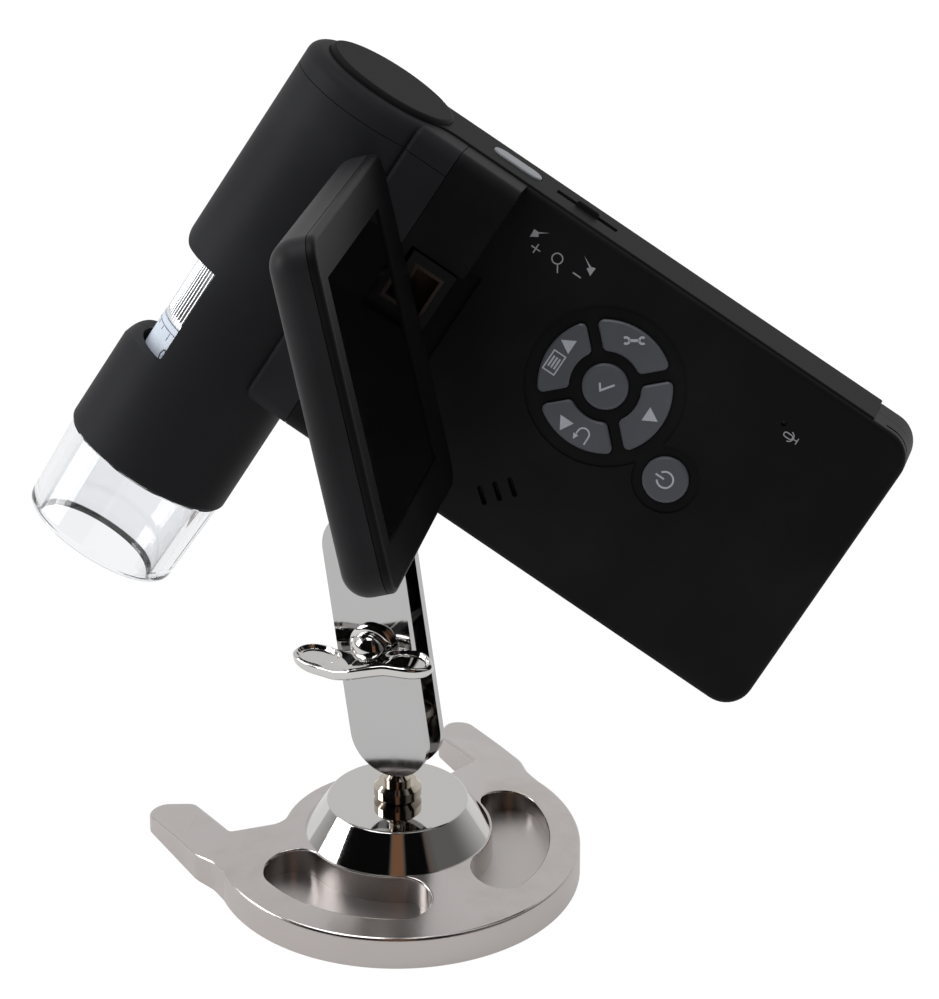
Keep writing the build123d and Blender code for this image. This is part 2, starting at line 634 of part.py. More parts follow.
def key_sector(turn, grow, z0, z1):
    """One ring key's outline, a quarter ring with rounded corners, pushed in Z."""
    quarter = Circle(RING_KEY_OUT) - Circle(RING_KEY_IN)
    half = (RING_KEY_SPOKE) / 2 * sqrt(2)
    reach = 2 * RING_KEY_OUT
    wedge = make_face(Polyline((half, 0), (half + reach, reach), (half + reach, -reach), close=True))
    sector = quarter & wedge
    sector = fillet(sector.vertices(), 1.2)
    if grow:
        sector = offset(sector, grow)
    return Pos(KEYPAD_X, KEYPAD_Y, 0) * Rot(0, 0, turn) * stretched(sector, z0, z1)


RING_KEYS = {"menu_key": 180, "settings_key": 90, "play_key": 0, "return_key": 270}
PANEL_IN_Z = BODY_THICK - WALL
KEY_TOP_Z = BODY_THICK + KEY_PROUD
FLANGE_LOW_Z = PANEL_IN_Z - SEAT - KEY_FLANGE_THICK
MAT_TOP_Z = BOARD_Z + BOARD_THICK + MAT_THICK
KEY_FOOT_Z = MAT_TOP_Z + KEY_TRAVEL + SEAT


def ring_key(turn):
    """A ring key: its cap, and the flange that keeps it in the panel."""
    cap = key_sector(turn, 0, FLANGE_LOW_Z, KEY_TOP_Z)
    cap = chamfer(edges_at(cap, "z", KEY_TOP_Z), KEY_DOME / 2)
    middle = (RING_KEY_IN + RING_KEY_OUT) / 2
    place = Pos(KEYPAD_X, KEYPAD_Y, 0) * Rot(0, 0, turn) * Pos(middle, 0, 0)
    foot = place * rod_z(0, 0, 1.5, KEY_FOOT_Z, FLANGE_LOW_Z + SEAT)
    return cap + key_sector(turn, KEY_FLANGE, FLANGE_LOW_Z, FLANGE_LOW_Z + KEY_FLANGE_THICK) + foot


def round_key(x, y, radius):
    """A round key: its cap, and the flange that keeps it in the panel."""
    cap = rod_z(x, y, radius, FLANGE_LOW_Z, KEY_TOP_Z)
    cap = fillet(edges_at(cap, "z", KEY_TOP_Z), KEY_DOME)
    foot = rod_z(x, y, 1.5, KEY_FOOT_Z, FLANGE_LOW_Z + SEAT)
    return cap + rod_z(x, y, radius + KEY_FLANGE, FLANGE_LOW_Z, FLANGE_LOW_Z + KEY_FLANGE_THICK) + foot


def screw_bosses(z0, z1):
    """A post at every case screw."""
    return [rod_z(x, y, SCREW_BOSS_R, z0, z1) for x, y in SCREW_PLACES]


def speaker_slots():
    """Three slanted slots over the speaker."""
    slots = []
    for k in range(SPEAKER_SLOTS):
        along = (k - (SPEAKER_SLOTS - 1) / 2) * SPEAKER_SLOT_PITCH
        slot = SlotOverall(SPEAKER_SLOT_LENGTH, SPEAKER_SLOT_WIDTH)
        place = Pos(SPEAKER_X, SPEAKER_Y, 0) * Rot(0, 0, SPEAKER_SLOT_TURN) * Pos(0, along, 0)
        slots.append(place * stretched(slot, PANEL_IN_Z - 1, BODY_THICK + 1))
    return slots


def insert_hole(radius, depth):
    """A hole for the threaded insert in the lower edge."""
    return rod_y(INSERT_X, INSERT_Z, radius, -BODY_HEIGHT - 1, -BODY_HEIGHT + depth)


def insert_block():
    """The thick wall round the threaded insert."""
    half = INSERT_R + WALL
    return block(INSERT_X - half, INSERT_X + half, -BODY_HEIGHT + WALL, -BODY_HEIGHT + INSERT_LENGTH + WALL,
                 WALL, PANEL_IN_Z)


def pry_groove():
    """The groove round the body's upper far corner, down to the flap."""
    ring = body_outline(-1) - body_outline(PRY_DEPTH)
    corner = Pos((PRY_START + 2 * BODY_END) / 2, (FLAP_Y1 + BODY_END) / 2)
    ring &= corner * Rectangle(2 * BODY_END - PRY_START, BODY_END - FLAP_Y1)
    return stretched(ring, FLAP_Z1 - PRY_WIDTH / 2, FLAP_Z1 + PRY_WIDTH / 2)


def body_half():
    """Front panel and rear shell as one hollow solid, before they are parted."""
    hump_side = block(JOIN_X + SEAM / 2, BODY_END, -BODY_HEIGHT - 1, 1, 0, HUMP_Z + 1)
    shape = body_solid() + (hump() & hump_side)
    cavity = stretched(body_outline(WALL), WALL, PANEL_IN_Z)
    cavity -= block(0, BODY_END, -WALL - TRIM_THICK, 1, 0, BODY_THICK)
    hump_in = block(JOIN_X + WALL, HUMP_RIGHT - WALL, -BODY_HEIGHT + WALL, -WALL - TRIM_THICK,
                    PARTING_Z, HUMP_Z - WALL)
    well_half = WELL_WIDTH / 2
    tub = block(JOIN_X, WELL_RIGHT + WALL, HINGE_Y - well_half - WALL, HINGE_Y + well_half + WALL,
                WELL_FLOOR_Z - WALL, HUMP_Z)
    cavity = (cavity + hump_in) - tub
    inside = insert_block() & cavity
    cavity -= inside
    cavity -= screw_bosses(WALL, HUMP_Z)
    cavity -= [rod_z(x, y, SCREW_BOSS_R + BOARD_LEDGE, WALL, BOARD_Z) for x, y in SCREW_PLACES]
    shape -= cavity
    shape -= block(WELL_LEFT, WELL_RIGHT, HINGE_Y - well_half, HINGE_Y + well_half, WELL_FLOOR_Z, HUMP_Z + 1)
    pin_span = well_half + FOLD_PIN_REACH
    shape -= rod_y(HINGE_X, HINGE_Z, FOLD_PIN_R + SEAT / 2, HINGE_Y - pin_span, HINGE_Y + pin_span)
    shape -= insert_hole(INSERT_R, INSERT_LENGTH)
    shape -= top_edge_cuts()
    shape -= cable_slot()
    shape -= block(BODY_END - FLAP_THICK - SEAT, BODY_END + 1, FLAP_Y0 - SEAM, FLAP_Y1 + SEAM,
                   FLAP_Z0 - SEAM, FLAP_Z1 + SEAM)
    shape -= pry_groove()
    for y, width, height in SOCKET_SIZES.values():
        low = BOARD_Z + BOARD_THICK
        shape -= block(BODY_END - WALL - 1, BODY_END + 1, y - width / 2 - SEAT, y + width / 2 + SEAT,
                       low - SEAT, low + height + SEAT)
    return shape


def front_panel(whole):
    """The front moulding: key openings, speaker slots, microphone hole."""
    panel = whole & block(0, 2 * BODY_END, -2 * BODY_HEIGHT, BODY_HEIGHT, PARTING_Z + SEAM / 2, 2 * HUMP_Z)
    panel -= rod_z(KEYPAD_X, KEYPAD_Y, RING_RECESS_R, BODY_THICK - RING_RECESS_DEPTH, BODY_THICK + 1)
    panel -= rod_z(POWER_X, POWER_Y, POWER_RECESS_R, BODY_THICK - RING_RECESS_DEPTH, BODY_THICK + 1)
    for turn in RING_KEYS.values():
        panel -= key_sector(turn, KEY_GAP, PANEL_IN_Z - 1, BODY_THICK + 1)
    panel -= rod_z(KEYPAD_X, KEYPAD_Y, OK_KEY_R + KEY_GAP, PANEL_IN_Z - 1, BODY_THICK + 1)
    panel -= rod_z(POWER_X, POWER_Y, POWER_KEY_R + KEY_GAP, PANEL_IN_Z - 1, BODY_THICK + 1)
    panel -= rod_z(MIC_X, MIC_Y, MIC_HOLE_R, PANEL_IN_Z - 1, BODY_THICK + 1)
    panel -= speaker_slots()
    bore_low = PARTING_Z - 1
    return panel - [rod_z(x, y, SCREW_R + SEAT / 2, bore_low, SCREW_REACH + 1) for x, y in SCREW_PLACES]


def battery_box(grow, z0, z1):
    """A box round the battery's place."""
    return block(BATTERY_X - BATTERY_LENGTH / 2 - grow, BATTERY_X + BATTERY_LENGTH / 2 + grow,
                 BATTERY_Y - BATTERY_WIDTH / 2 - grow, BATTERY_Y + BATTERY_WIDTH / 2 + grow, z0, z1)


def cover_shape(grow, low):
    """The sliding cover's plate and its lips, up to the body's far end."""
    half = COVER_WIDTH / 2 + grow
    plate = block(COVER_START - grow, BODY_END + 1, BATTERY_Y - half, BATTERY_Y + half, low, COVER_THICK + grow)
    half += COVER_LIP
    return plate + block(COVER_START - grow, BODY_END + 1, BATTERY_Y - half, BATTERY_Y + half,
                         COVER_THICK - COVER_LIP_THICK - grow, COVER_THICK + grow)


def battery_cover():
    """The battery cover, which slides off over the body's far end."""
    return cover_shape(0, 0) & body_solid()


def rear_shell(whole):
    """The rear moulding: battery bay, screw holes and the post of the zoom dial."""
    shell = whole & block(0, 2 * BODY_END, -2 * BODY_HEIGHT, BODY_HEIGHT, -1, PARTING_Z - SEAM / 2)
    shell -= cover_shape(SEAM, -1)
    shell -= battery_box(SEAT + RUN, -1, WALL + 1)
    for x, y in SCREW_PLACES:
        shell -= rod_z(x, y, SCREW_R + SEAT / 2, -1, PARTING_Z + 1)
        shell -= rod_z(x, y, SCREW_HEAD_R + SEAT, -1, WALL + SCREW_HEAD_THICK)
    post = rod_z(DIAL_X, DIAL_Y, DIAL_PIN_R, WALL - SEAT, DIAL_Z + DIAL_THICK / 2 + 1)
    shoulder = rod_z(DIAL_X, DIAL_Y, 2 * DIAL_PIN_R, WALL - SEAT, DIAL_Z - DIAL_THICK / 2 - SEAT)
    return shell + post + shoulder


def case_screws():
    """The screws that hold the rear moulding to the front one."""
    screws = []
    for x, y in SCREW_PLACES:
        head_top = WALL + SCREW_HEAD_THICK
        screw = rod_z(x, y, SCREW_R, head_top - SEAT, SCREW_REACH)
        screws.append(screw + rod_z(x, y, SCREW_HEAD_R, WALL, head_top))
    return Compound(children=screws)


def main_board():
    """The main circuit board, clear of the dial, the screw posts and the insert."""
    board = block(BOARD_X0, BOARD_X1, BOARD_Y0, BOARD_Y1, BOARD_Z, BOARD_Z + BOARD_THICK)
    reach = DIAL_R + KEY_GAP + 2
    board -= block(0, DIAL_X + reach + 2, DIAL_Y - reach, BOARD_Y1 + 1, 0, BODY_THICK)
    board -= [rod_z(x, y, SCREW_BOSS_R + SEAM, 0, BODY_THICK) for x, y in SCREW_PLACES]
    half = INSERT_R + WALL + SEAM
    return board - block(INSERT_X - half, INSERT_X + half, BOARD_Y0 - 1,
                         -BODY_HEIGHT + INSERT_LENGTH + WALL + SEAM, 0, BODY_THICK)


def key_mat():
    """The rubber mat with the key domes, on the main board."""
    low = BOARD_Z + BOARD_THICK
    pad = rod_z(KEYPAD_X, KEYPAD_Y, RING_KEY_OUT + MAT_MARGIN, low, low + MAT_THICK / 2)
    pad += rod_z(POWER_X, POWER_Y, POWER_KEY_R + MAT_MARGIN / 2, low, low + MAT_THICK / 2)
    middle = (RING_KEY_IN + RING_KEY_OUT) / 2
    places = [(KEYPAD_X, KEYPAD_Y), (POWER_X, POWER_Y)]
    places += [(KEYPAD_X + middle * cos(radians(t)), KEYPAD_Y + middle * sin(radians(t)))
               for t in RING_KEYS.values()]
    return pad + [rod_z(x, y, 2.2, low, low + MAT_THICK) for x, y in places]


def shutter_button():
    """The oval button on the top edge, with its flange under the wall."""
    flange_top = -WALL - TRIM_THICK - SEAT
    cap = on_top_edge(shutter_slot(), flange_top - 1, SHUTTER_PROUD)
    cap = fillet(edges_at(cap, "y", SHUTTER_PROUD), KEY_DOME / 2)
    flange = Pos(SHUTTER_X, SHUTTER_Z) * Rectangle(SHUTTER_LENGTH + 2 * KEY_FLANGE, SHUTTER_WIDTH)
    return cap + on_top_edge(flange, flange_top - 1.4, flange_top)


def side_board():
    """The small board with the shutter's switch, standing in the rear shell."""
    switch_top = -WALL - TRIM_THICK - SEAT - 1.4 - SHUTTER_TRAVEL - SEAT
    board_top = switch_top - 1.6
    half = SHUTTER_LENGTH / 2 - 1
    board = block(SHUTTER_X - half, SHUTTER_X + half, board_top - 1, board_top, WALL, PANEL_IN_Z)
    board -= block(0, BODY_END, -BODY_HEIGHT, 0, PARTING_Z + 6, BODY_THICK)
    switch = block(SHUTTER_X - 2.2, SHUTTER_X + 2.2, board_top, switch_top, SHUTTER_Z - 2.2, SHUTTER_Z + 2.2)
    return board + switch


def zoom_dial():
    """The sprung zoom dial: a disc on its post, with a nib in the slot."""
    low = DIAL_Z - DIAL_THICK / 2
    disc = rod_z(DIAL_X, DIAL_Y, DIAL_R, low, low + DIAL_THICK)
    nib = block(DIAL_X - DIAL_NIB / 2, DIAL_X + DIAL_NIB / 2, DIAL_Y, TRIM_PROUD + DIAL_NIB_PROUD,
                low, low + DIAL_THICK)
    nib = fillet(edges_at(nib, "y", TRIM_PROUD + DIAL_NIB_PROUD), DIAL_NIB_PROUD / 3)
    return disc + nib - rod_z(DIAL_X, DIAL_Y, DIAL_PIN_R + RUN, low - 1, low + DIAL_THICK + 1)


def socket(y, width, height):
    """A metal socket on the main board, open towards the body's far end."""
    low = BOARD_Z + BOARD_THICK
    x1 = BODY_END - FLAP_THICK - SEAT - SEAM
    shell = block(x1 - SOCKET_DEPTH, x1, y - width / 2, y + width / 2, low, low + height)
    mouth = block(x1 - SOCKET_DEPTH * 0.7, x1 + 1, y - width / 2 + SOCKET_WALL, y + width / 2 - SOCKET_WALL,
                  low + SOCKET_WALL, low + height - SOCKET_WALL)
    return shell - mouth


def port_flap():
    """The rubber flap over the sockets."""
    flap = block(BODY_END - FLAP_THICK, BODY_END, FLAP_Y0, FLAP_Y1, FLAP_Z0, FLAP_Z1)
    return fillet([e for e in edges_at(flap, "y", FLAP_Y0) if abs(e.length - FLAP_Z1 + FLAP_Z0) < SEAT],
                  FLAP_THICK / 2 - RUN)


def fold_pins():
    """The two steel pins of the fold axis, one at each side of the hinge well."""
    inner = BLOCK_WIDTH / 2 - BLOCK_WALL
    outer = WELL_WIDTH / 2 + FOLD_PIN_REACH
    pins = [rod_y(HINGE_X, HINGE_Z, FOLD_PIN_R, HINGE_Y + inner, HINGE_Y + outer),
            rod_y(HINGE_X, HINGE_Z, FOLD_PIN_R, HINGE_Y - outer, HINGE_Y - inner)]
    return Compound(children=pins)


# ---------------------------------------------------------------- hinge and lid, in the lid frame
def hinge_block():
    """The plastic cup of the hinge: round under the fold axis, open towards the lid."""
    half = BLOCK_WIDTH / 2
    shape = block(-BLOCK_HALF, BLOCK_HALF, -half, half, 0, BLOCK_TOP) + rod_y(0, 0, BLOCK_HALF, -half, half)
    inner = BLOCK_HALF - BLOCK_WALL
    shape -= block(-inner, inner, -half + BLOCK_WALL, half - BLOCK_WALL, -inner, BLOCK_TOP + 1)
    return shape - rod_y(0, 0, FOLD_PIN_R + RUN, -half - 1, half + 1)


def swivel_bracket():
    """The bright metal tray in the cup, with the tube that the swivel pin turns in."""
    outer = BLOCK_HALF - BLOCK_WALL - SEAT / 2
    half = BLOCK_WIDTH / 2 - BLOCK_WALL - SEAT / 2
    top = BLOCK_TOP - SEAT
    inner = outer - BRACKET_WALL
    tray = block(-outer, outer, -half, half, -outer, top)
    tray -= block(-inner, inner, -half + BRACKET_WALL, half - BRACKET_WALL, -inner, top + 1)
    tube_r = SWIVEL_PIN_R + RUN + SWIVEL_TUBE_WALL
    tube = rod_z(0, 0, tube_r, -outer, top - 1) & block(-inner, inner, -tube_r, tube_r, -outer, top)
    return tray + tube - rod_z(0, 0, SWIVEL_PIN_R + RUN, -inner + SEAT, top + 1)


def swivel_pin():
    """The steel pin that is fixed in the lid and turns in the bracket's tube."""
    bottom = -(BLOCK_HALF - BLOCK_WALL - SEAT / 2 - BRACKET_WALL) + 2 * SEAT
    pin = rod_z(0, 0, SWIVEL_PIN_R, bottom, LID_START + PIN_SOCKET)
    return pin + rod_z(0, 0, SWIVEL_PIN_R + SWIVEL_TUBE_WALL, BLOCK_TOP + SEAT, LID_START - SEAT)


def lid_envelope(wall=0.0):
    """The lid's outer shape, rounded at the back and at the four corners, or its inside."""
    half = LID_WIDTH / 2 - wall
    shape = block(wall - LID_REAR, LID_FRONT, -half, half, LID_START + wall, LID_START + LID_LENGTH - wall)
    shape = fillet(shape.edges().filter_by(Axis.X), LID_CORNER - wall)
    return fillet(edges_at(shape, "x", wall - LID_REAR), LID_BACK_ROUND - wall)


def lid_outside():
    """The closed lid, with the edge round its display side rounded too."""
    return fillet(edges_at(lid_envelope(), "x", LID_FRONT), LID_FRONT_ROUND)


BEZEL_X = LID_FRONT - BEZEL_THICK
DISPLAY_Z = LID_START + DISPLAY_START + DISPLAY_LENGTH / 2


def display_box(length, width, x0, x1):
    """A box behind the picture, on the picture's centre."""
    return block(x0, x1, -width / 2, width / 2, DISPLAY_Z - length / 2, DISPLAY_Z + length / 2)


def lid_back():
    """The lid's back shell, hollow but for the socket of the swivel pin."""
    shell = lid_outside() & block(-LID_LENGTH, BEZEL_X - SEAM / 2, -LID_WIDTH, LID_WIDTH, 0, 2 * LID_LENGTH)
    half = SWIVEL_PIN_R + LID_WALL
    socket_wall = block(-LID_REAR, LID_FRONT, -half, half, 0, LID_START + PIN_SOCKET + LID_WALL)
    shell -= lid_envelope(LID_WALL) - socket_wall
    return shell - rod_z(0, 0, SWIVEL_PIN_R + RUN, 0, LID_START + PIN_SOCKET + SEAT)


def lid_bezel():
    """The frame round the display."""
    frame = lid_outside() & block(BEZEL_X + SEAM / 2, LID_LENGTH, -LID_WIDTH, LID_WIDTH, 0, 2 * LID_LENGTH)
    return frame - display_box(DISPLAY_LENGTH + 2 * GLASS_MARGIN, DISPLAY_WIDTH + 2 * GLASS_MARGIN,
                               0, LID_FRONT + 1)


def lcd_panel():
    """The display module behind the frame."""
    x1 = BEZEL_X - SEAM
    return display_box(PANEL_LENGTH, PANEL_WIDTH, x1 - PANEL_THICK, x1)


def lcd_glass():
    """The cover glass in the frame's window."""
    x1 = LID_FRONT - GLASS_RECESS
    return display_box(DISPLAY_LENGTH + 2 * GLASS_MARGIN - 2 * SEAT, DISPLAY_WIDTH + 2 * GLASS_MARGIN - 2 * SEAT,
                       x1 - GLASS_THICK, x1)


# ---------------------------------------------------------------- stand, in the row frame
def corner(sketch, x, y, radius):
    """A sketch with its corner at one point rounded."""
    return fillet([v for v in sketch.vertices() if abs(v.X - x) + abs(v.Y - y) < 0.01], radius)


def foot_arm():
    """The right arm's outline, from inside the disc to the slanted end."""
    slant_x = ARM_IN + ARM_TIP_SLANT
    slant_y = ARM_TIP - ARM_TIP_SLANT
    arm = make_face(Polyline((0, 0), (VALLEY_X, VALLEY_Y), (ARM_IN, ARM_ROOT_Y), (ARM_IN, slant_y),
                             (slant_x, ARM_TIP), (ARM_OUT, ARM_TIP), (ARM_OUT, ARM_START),
                             (NECK_X, NECK_Y), (NECK_X, 0), close=True))
    for x, y, radius in ((ARM_IN, ARM_ROOT_Y, ARM_ROOT_ROUND), (ARM_IN, slant_y, ARM_TIP_ROUND),
                         (slant_x, ARM_TIP, ARM_TIP_ROUND), (ARM_OUT, ARM_TIP, ARM_TIP_ROUND),
                         (ARM_OUT, ARM_START, NECK_ROUND), (NECK_X, NECK_Y, NECK_ROUND)):
        arm = corner(arm, x, y, radius)
    return arm


def foot_outline():
    """The horseshoe outline: a disc, a lobe behind it and two arms."""
    front = Circle(FOOT_R) & Pos(0, NECK_Y - FOOT_R) * Rectangle(3 * FOOT_R, 2 * FOOT_R)
    outline = front + Circle(LOBE_R) + foot_arm() + mirror(foot_arm(), Plane.YZ)
    valleys = [v for v in outline.vertices() if v.Y > 1 and abs(sqrt(v.X ** 2 + v.Y ** 2) - LOBE_R) < 0.01]
    return fillet(valleys, LOBE_ROUND)


def foot_pockets():
    """The two kidney-shaped pockets beside the boss."""
    arc = CenterArc((0, 0), POCKET_R, -90 - POCKET_ARC / 2, POCKET_ARC)
    slot = SlotArc(arc, 2 * POCKET_HALF_WIDTH)
    return [Rot(0, 0, turn) * stretched(slot, POCKET_FLOOR, FOOT_DOME + 1) for turn in (-POCKET_TURN, POCKET_TURN)]


def foot():
    """The cast horseshoe foot: its top slopes down to the arms, round two pockets and a screw hole."""
    flat_r = BOSS_R + FOOT_FLAT
    slope = (FOOT_DOME - FOOT_RIM) / (FOOT_R - flat_r)
    zero_r = flat_r + FOOT_DOME / slope
    dome = Polyline((0, 0), (zero_r, 0), (flat_r, FOOT_DOME), (0, FOOT_DOME), close=True)
    cone = Rot(0, 0, 90) * revolve(make_face(Plane.XZ * dome), Axis.Z)
    blank = stretched(foot_outline(), 0, FOOT_DOME) & cone
    rim = [e for e in blank.edges() if e.center().Z > 1 and max(v.Z for v in e.vertices()) < FOOT_DOME - 0.01
           and min(v.Z for v in e.vertices()) > 1]
    blank = fillet(rim, FOOT_EDGE)
    blank -= foot_pockets()
    pocket_far = POCKET_R + POCKET_HALF_WIDTH + POCKET_EDGE
    pocket_rims = [e for e in blank.edges() if min(v.Z for v in e.vertices()) > POCKET_FLOOR + POCKET_EDGE
                   and flat_r < sqrt(e.center().X ** 2 + e.center().Y ** 2) < pocket_far]
    blank = fillet(pocket_rims, POCKET_EDGE)
    blank -= rod_z(0, 0, STUD_R + SEAT, -1, FOOT_DOME + 1)
    return blank - rod_z(0, 0, BOSS_SCREW_HEAD_R + SEAT, -1, BOSS_SCREW_RECESS + BOSS_SCREW_HEAD_THICK)


BOSS_TOP_Z = FOOT_DOME + BOSS_HEIGHT
BOSS_WEB_Z = FOOT_DOME + 2.2


def foot_boss():
    """The polished cone that carries the lower ball stud."""
    cone = turned([(0, FOOT_DOME), (BOSS_R, FOOT_DOME), (BOSS_TOP_R, BOSS_TOP_Z), (0, BOSS_TOP_Z)])
    cone = fillet(cone.edges().sort_by(Axis.Z)[-1], BOSS_EDGE_ROUND)
    return cone - rod_z(0, 0, STUD_R + RUN, FOOT_DOME - 1, BOSS_TOP_Z + 1)


def boss_screw():
    """The screw under the foot that holds the boss."""
    top = BOSS_SCREW_RECESS + BOSS_SCREW_HEAD_THICK
    screw = rod_z(0, 0, STUD_R, top - SEAT, BOSS_WEB_Z)
    screw += rod_z(0, 0, BOSS_SCREW_HEAD_R, BOSS_SCREW_RECESS, top - SEAT / 2)
    cross = block(-3, 3, -0.6, 0.6, 0, BOSS_SCREW_RECESS + 1.2)
    return screw - cross - Rot(0, 0, 90) * cross


def ball_and_collar(collar_at, foot_r, foot_end):
    """A turned stud along -Z from a ball at the origin: slim neck, neck, collar and shank.

    collar_at is the distance from the ball's centre to the collar, foot_r and foot_end are the
    shank's radius and its end.
    """
    slim_end = PLATE_END + 1.2
    rounding = COLLAR_THICK / 4
    profile = turned([
        (0, 0), (SLIM_NECK_R, 0), (SLIM_NECK_R, -slim_end), (NECK_R, -slim_end - 1),
        (NECK_R, -collar_at), (COLLAR_R - rounding, -collar_at), (COLLAR_R, -collar_at - rounding),
        (COLLAR_R, -collar_at - COLLAR_THICK + rounding), (COLLAR_R - rounding, -collar_at - COLLAR_THICK),
        (foot_r, -collar_at - COLLAR_THICK), (foot_r, -foot_end), (0, -foot_end)])
    return profile + Sphere(BALL_R)


def lower_ball_stud():
    """The stud of the lower ball, its shank in the boss."""
    collar_at = LOWER_BALL_Z - BOSS_TOP_Z - COLLAR_THICK - SEAT
    return Pos(0, 0, LOWER_BALL_Z) * ball_and_collar(collar_at, STUD_R, LOWER_BALL_Z - BOSS_WEB_Z - SEAT)


def upper_ball_stud():
    """The stud of the upper ball, its thread in the handset's insert."""
    collar_at = STUD_LENGTH - COLLAR_THICK - SEAT
    stud = ball_and_collar(collar_at, THREAD_R, STUD_LENGTH + INSERT_LENGTH - 2)
    return STUD_PLACE * Rot(180, 0, 0) * stud


def tripod_insert():
    """The threaded metal insert in the handset's lower edge."""
    sleeve = rod_y(INSERT_X, INSERT_Z, INSERT_R - RUN, -BODY_HEIGHT, -BODY_HEIGHT + INSERT_LENGTH - SEAT)
    return sleeve - rod_y(INSERT_X, INSERT_Z, THREAD_R + RUN, -BODY_HEIGHT - 1, -BODY_HEIGHT + INSERT_LENGTH - 1)


def plate_outline():
    """A clamp plate's outline on XY: a strip with two round ends about the ball centres."""
    return Pos(BALL_SPACING / 2, 0) * SlotOverall(BALL_SPACING + 2 * PLATE_END, PLATE_WIDTH)


def clamp_plate(side):
    """One clamp plate with two ball seats, at -1 in front of the balls or at 1 behind them."""
    inner = PLATE_GAP / 2
    plate = Rot(0, -90, 0) * stretched(plate_outline(), inner, inner + PLATE_THICK)
    plate = Rot(0, 0, 90) * plate if side < 0 else Rot(0, 0, -90) * plate
    plate -= Sphere(BALL_R + RUN)
    plate -= Pos(0, 0, BALL_SPACING) * Sphere(BALL_R + RUN)
    plate -= rod_y(0, BALL_SPACING / 2, WING_BOLT_R + RUN, -2 * PLATE_GAP, 2 * PLATE_GAP)
    return plate


def stud_notch():
    """The open notch in the rear plate where the upper stud leans back."""
    reach = 3 * PLATE_END
    half = SLIM_NECK_R + 0.9
    cuts = []
    steps = 4
    for k in range(steps + 1):
        turn = NOTCH_LOW + (NOTCH_HIGH - NOTCH_LOW) * k / steps
        slot = block(-half, half, 0, 2 * PLATE_GAP, NOTCH_START, reach)
        cuts.append(Pos(0, 0, BALL_SPACING) * Rot(0, turn, 0) * slot)
    return cuts


def clamp_nut():
    """The nut on the rear plate that the wing screw pulls on."""
    y0 = PLATE_GAP / 2 + PLATE_THICK
    nut = Pos(0, y0, BALL_SPACING / 2) * Rot(-90, 0, 0) * stretched(RegularPolygon(NUT_R, 6), 0, NUT_THICK)
    return nut - rod_y(0, BALL_SPACING / 2, WING_BOLT_R + RUN, 0, 4 * PLATE_GAP)


def wings():
    """Both wings as one bar, lofted from end to end, with a dish in each face."""
    sections = []
    for side in (-1, 1):
        half = [(side * at, back, front, side * rise, thick) for at, back, front, rise, thick in WING_SECTIONS]
        sections += half[::-1] if side < 0 else half[1:]
    outlines = []
    for at, back, front, rise, thick in sections:
        plane = Plane(origin=(at, -(back + front) / 2, rise - WING_SAG), x_dir=(0, -1, 0), z_dir=(1, 0, 0))
        outlines.append(plane * RectangleRounded(front - back, thick, 0.4 * thick))
    bar = loft(outlines)
    rise_at_dish = WING_SECTIONS[3][3]
    dish = SlotOverall(DISH_LENGTH, DISH_WIDTH)
    for side in (-1, 1):
        middle = side * rise_at_dish - WING_SAG
        reach = WING_THICK / 2 - DISH_DEPTH
        for low, high in ((middle + reach, middle + WING_THICK), (middle - WING_THICK, middle - reach)):
            bar -= Pos(side * DISH_AT, -DISH_OUT, 0) * stretched(dish, low, high)
    return bar


def wing_screw():
    """The wing screw: a bolt through both plates, a domed hub on a flange and two waved wings."""
    front = -PLATE_GAP / 2 - PLATE_THICK - SEAT
    rear = PLATE_GAP / 2 + PLATE_THICK + NUT_THICK + 1
    hub = turned([(0, 0), (WING_FLANGE_R, 0), (WING_FLANGE_R, WING_FLANGE * 0.6),
                  (WING_FLANGE_R - WING_FLANGE * 0.4, WING_FLANGE), (WING_HUB_R, WING_FLANGE),
                  (WING_HUB_R - 0.5, WING_HUB - 2), (WING_HUB_R - 1.8, WING_HUB - 0.6),
                  (WING_HUB_R - 3.4, WING_HUB), (0, WING_HUB)])
    head = Pos(0, front, BALL_SPACING / 2) * (Rot(90, 0, 0) * hub + wings())
    return head + rod_y(0, BALL_SPACING / 2, WING_BOLT_R, front, rear)


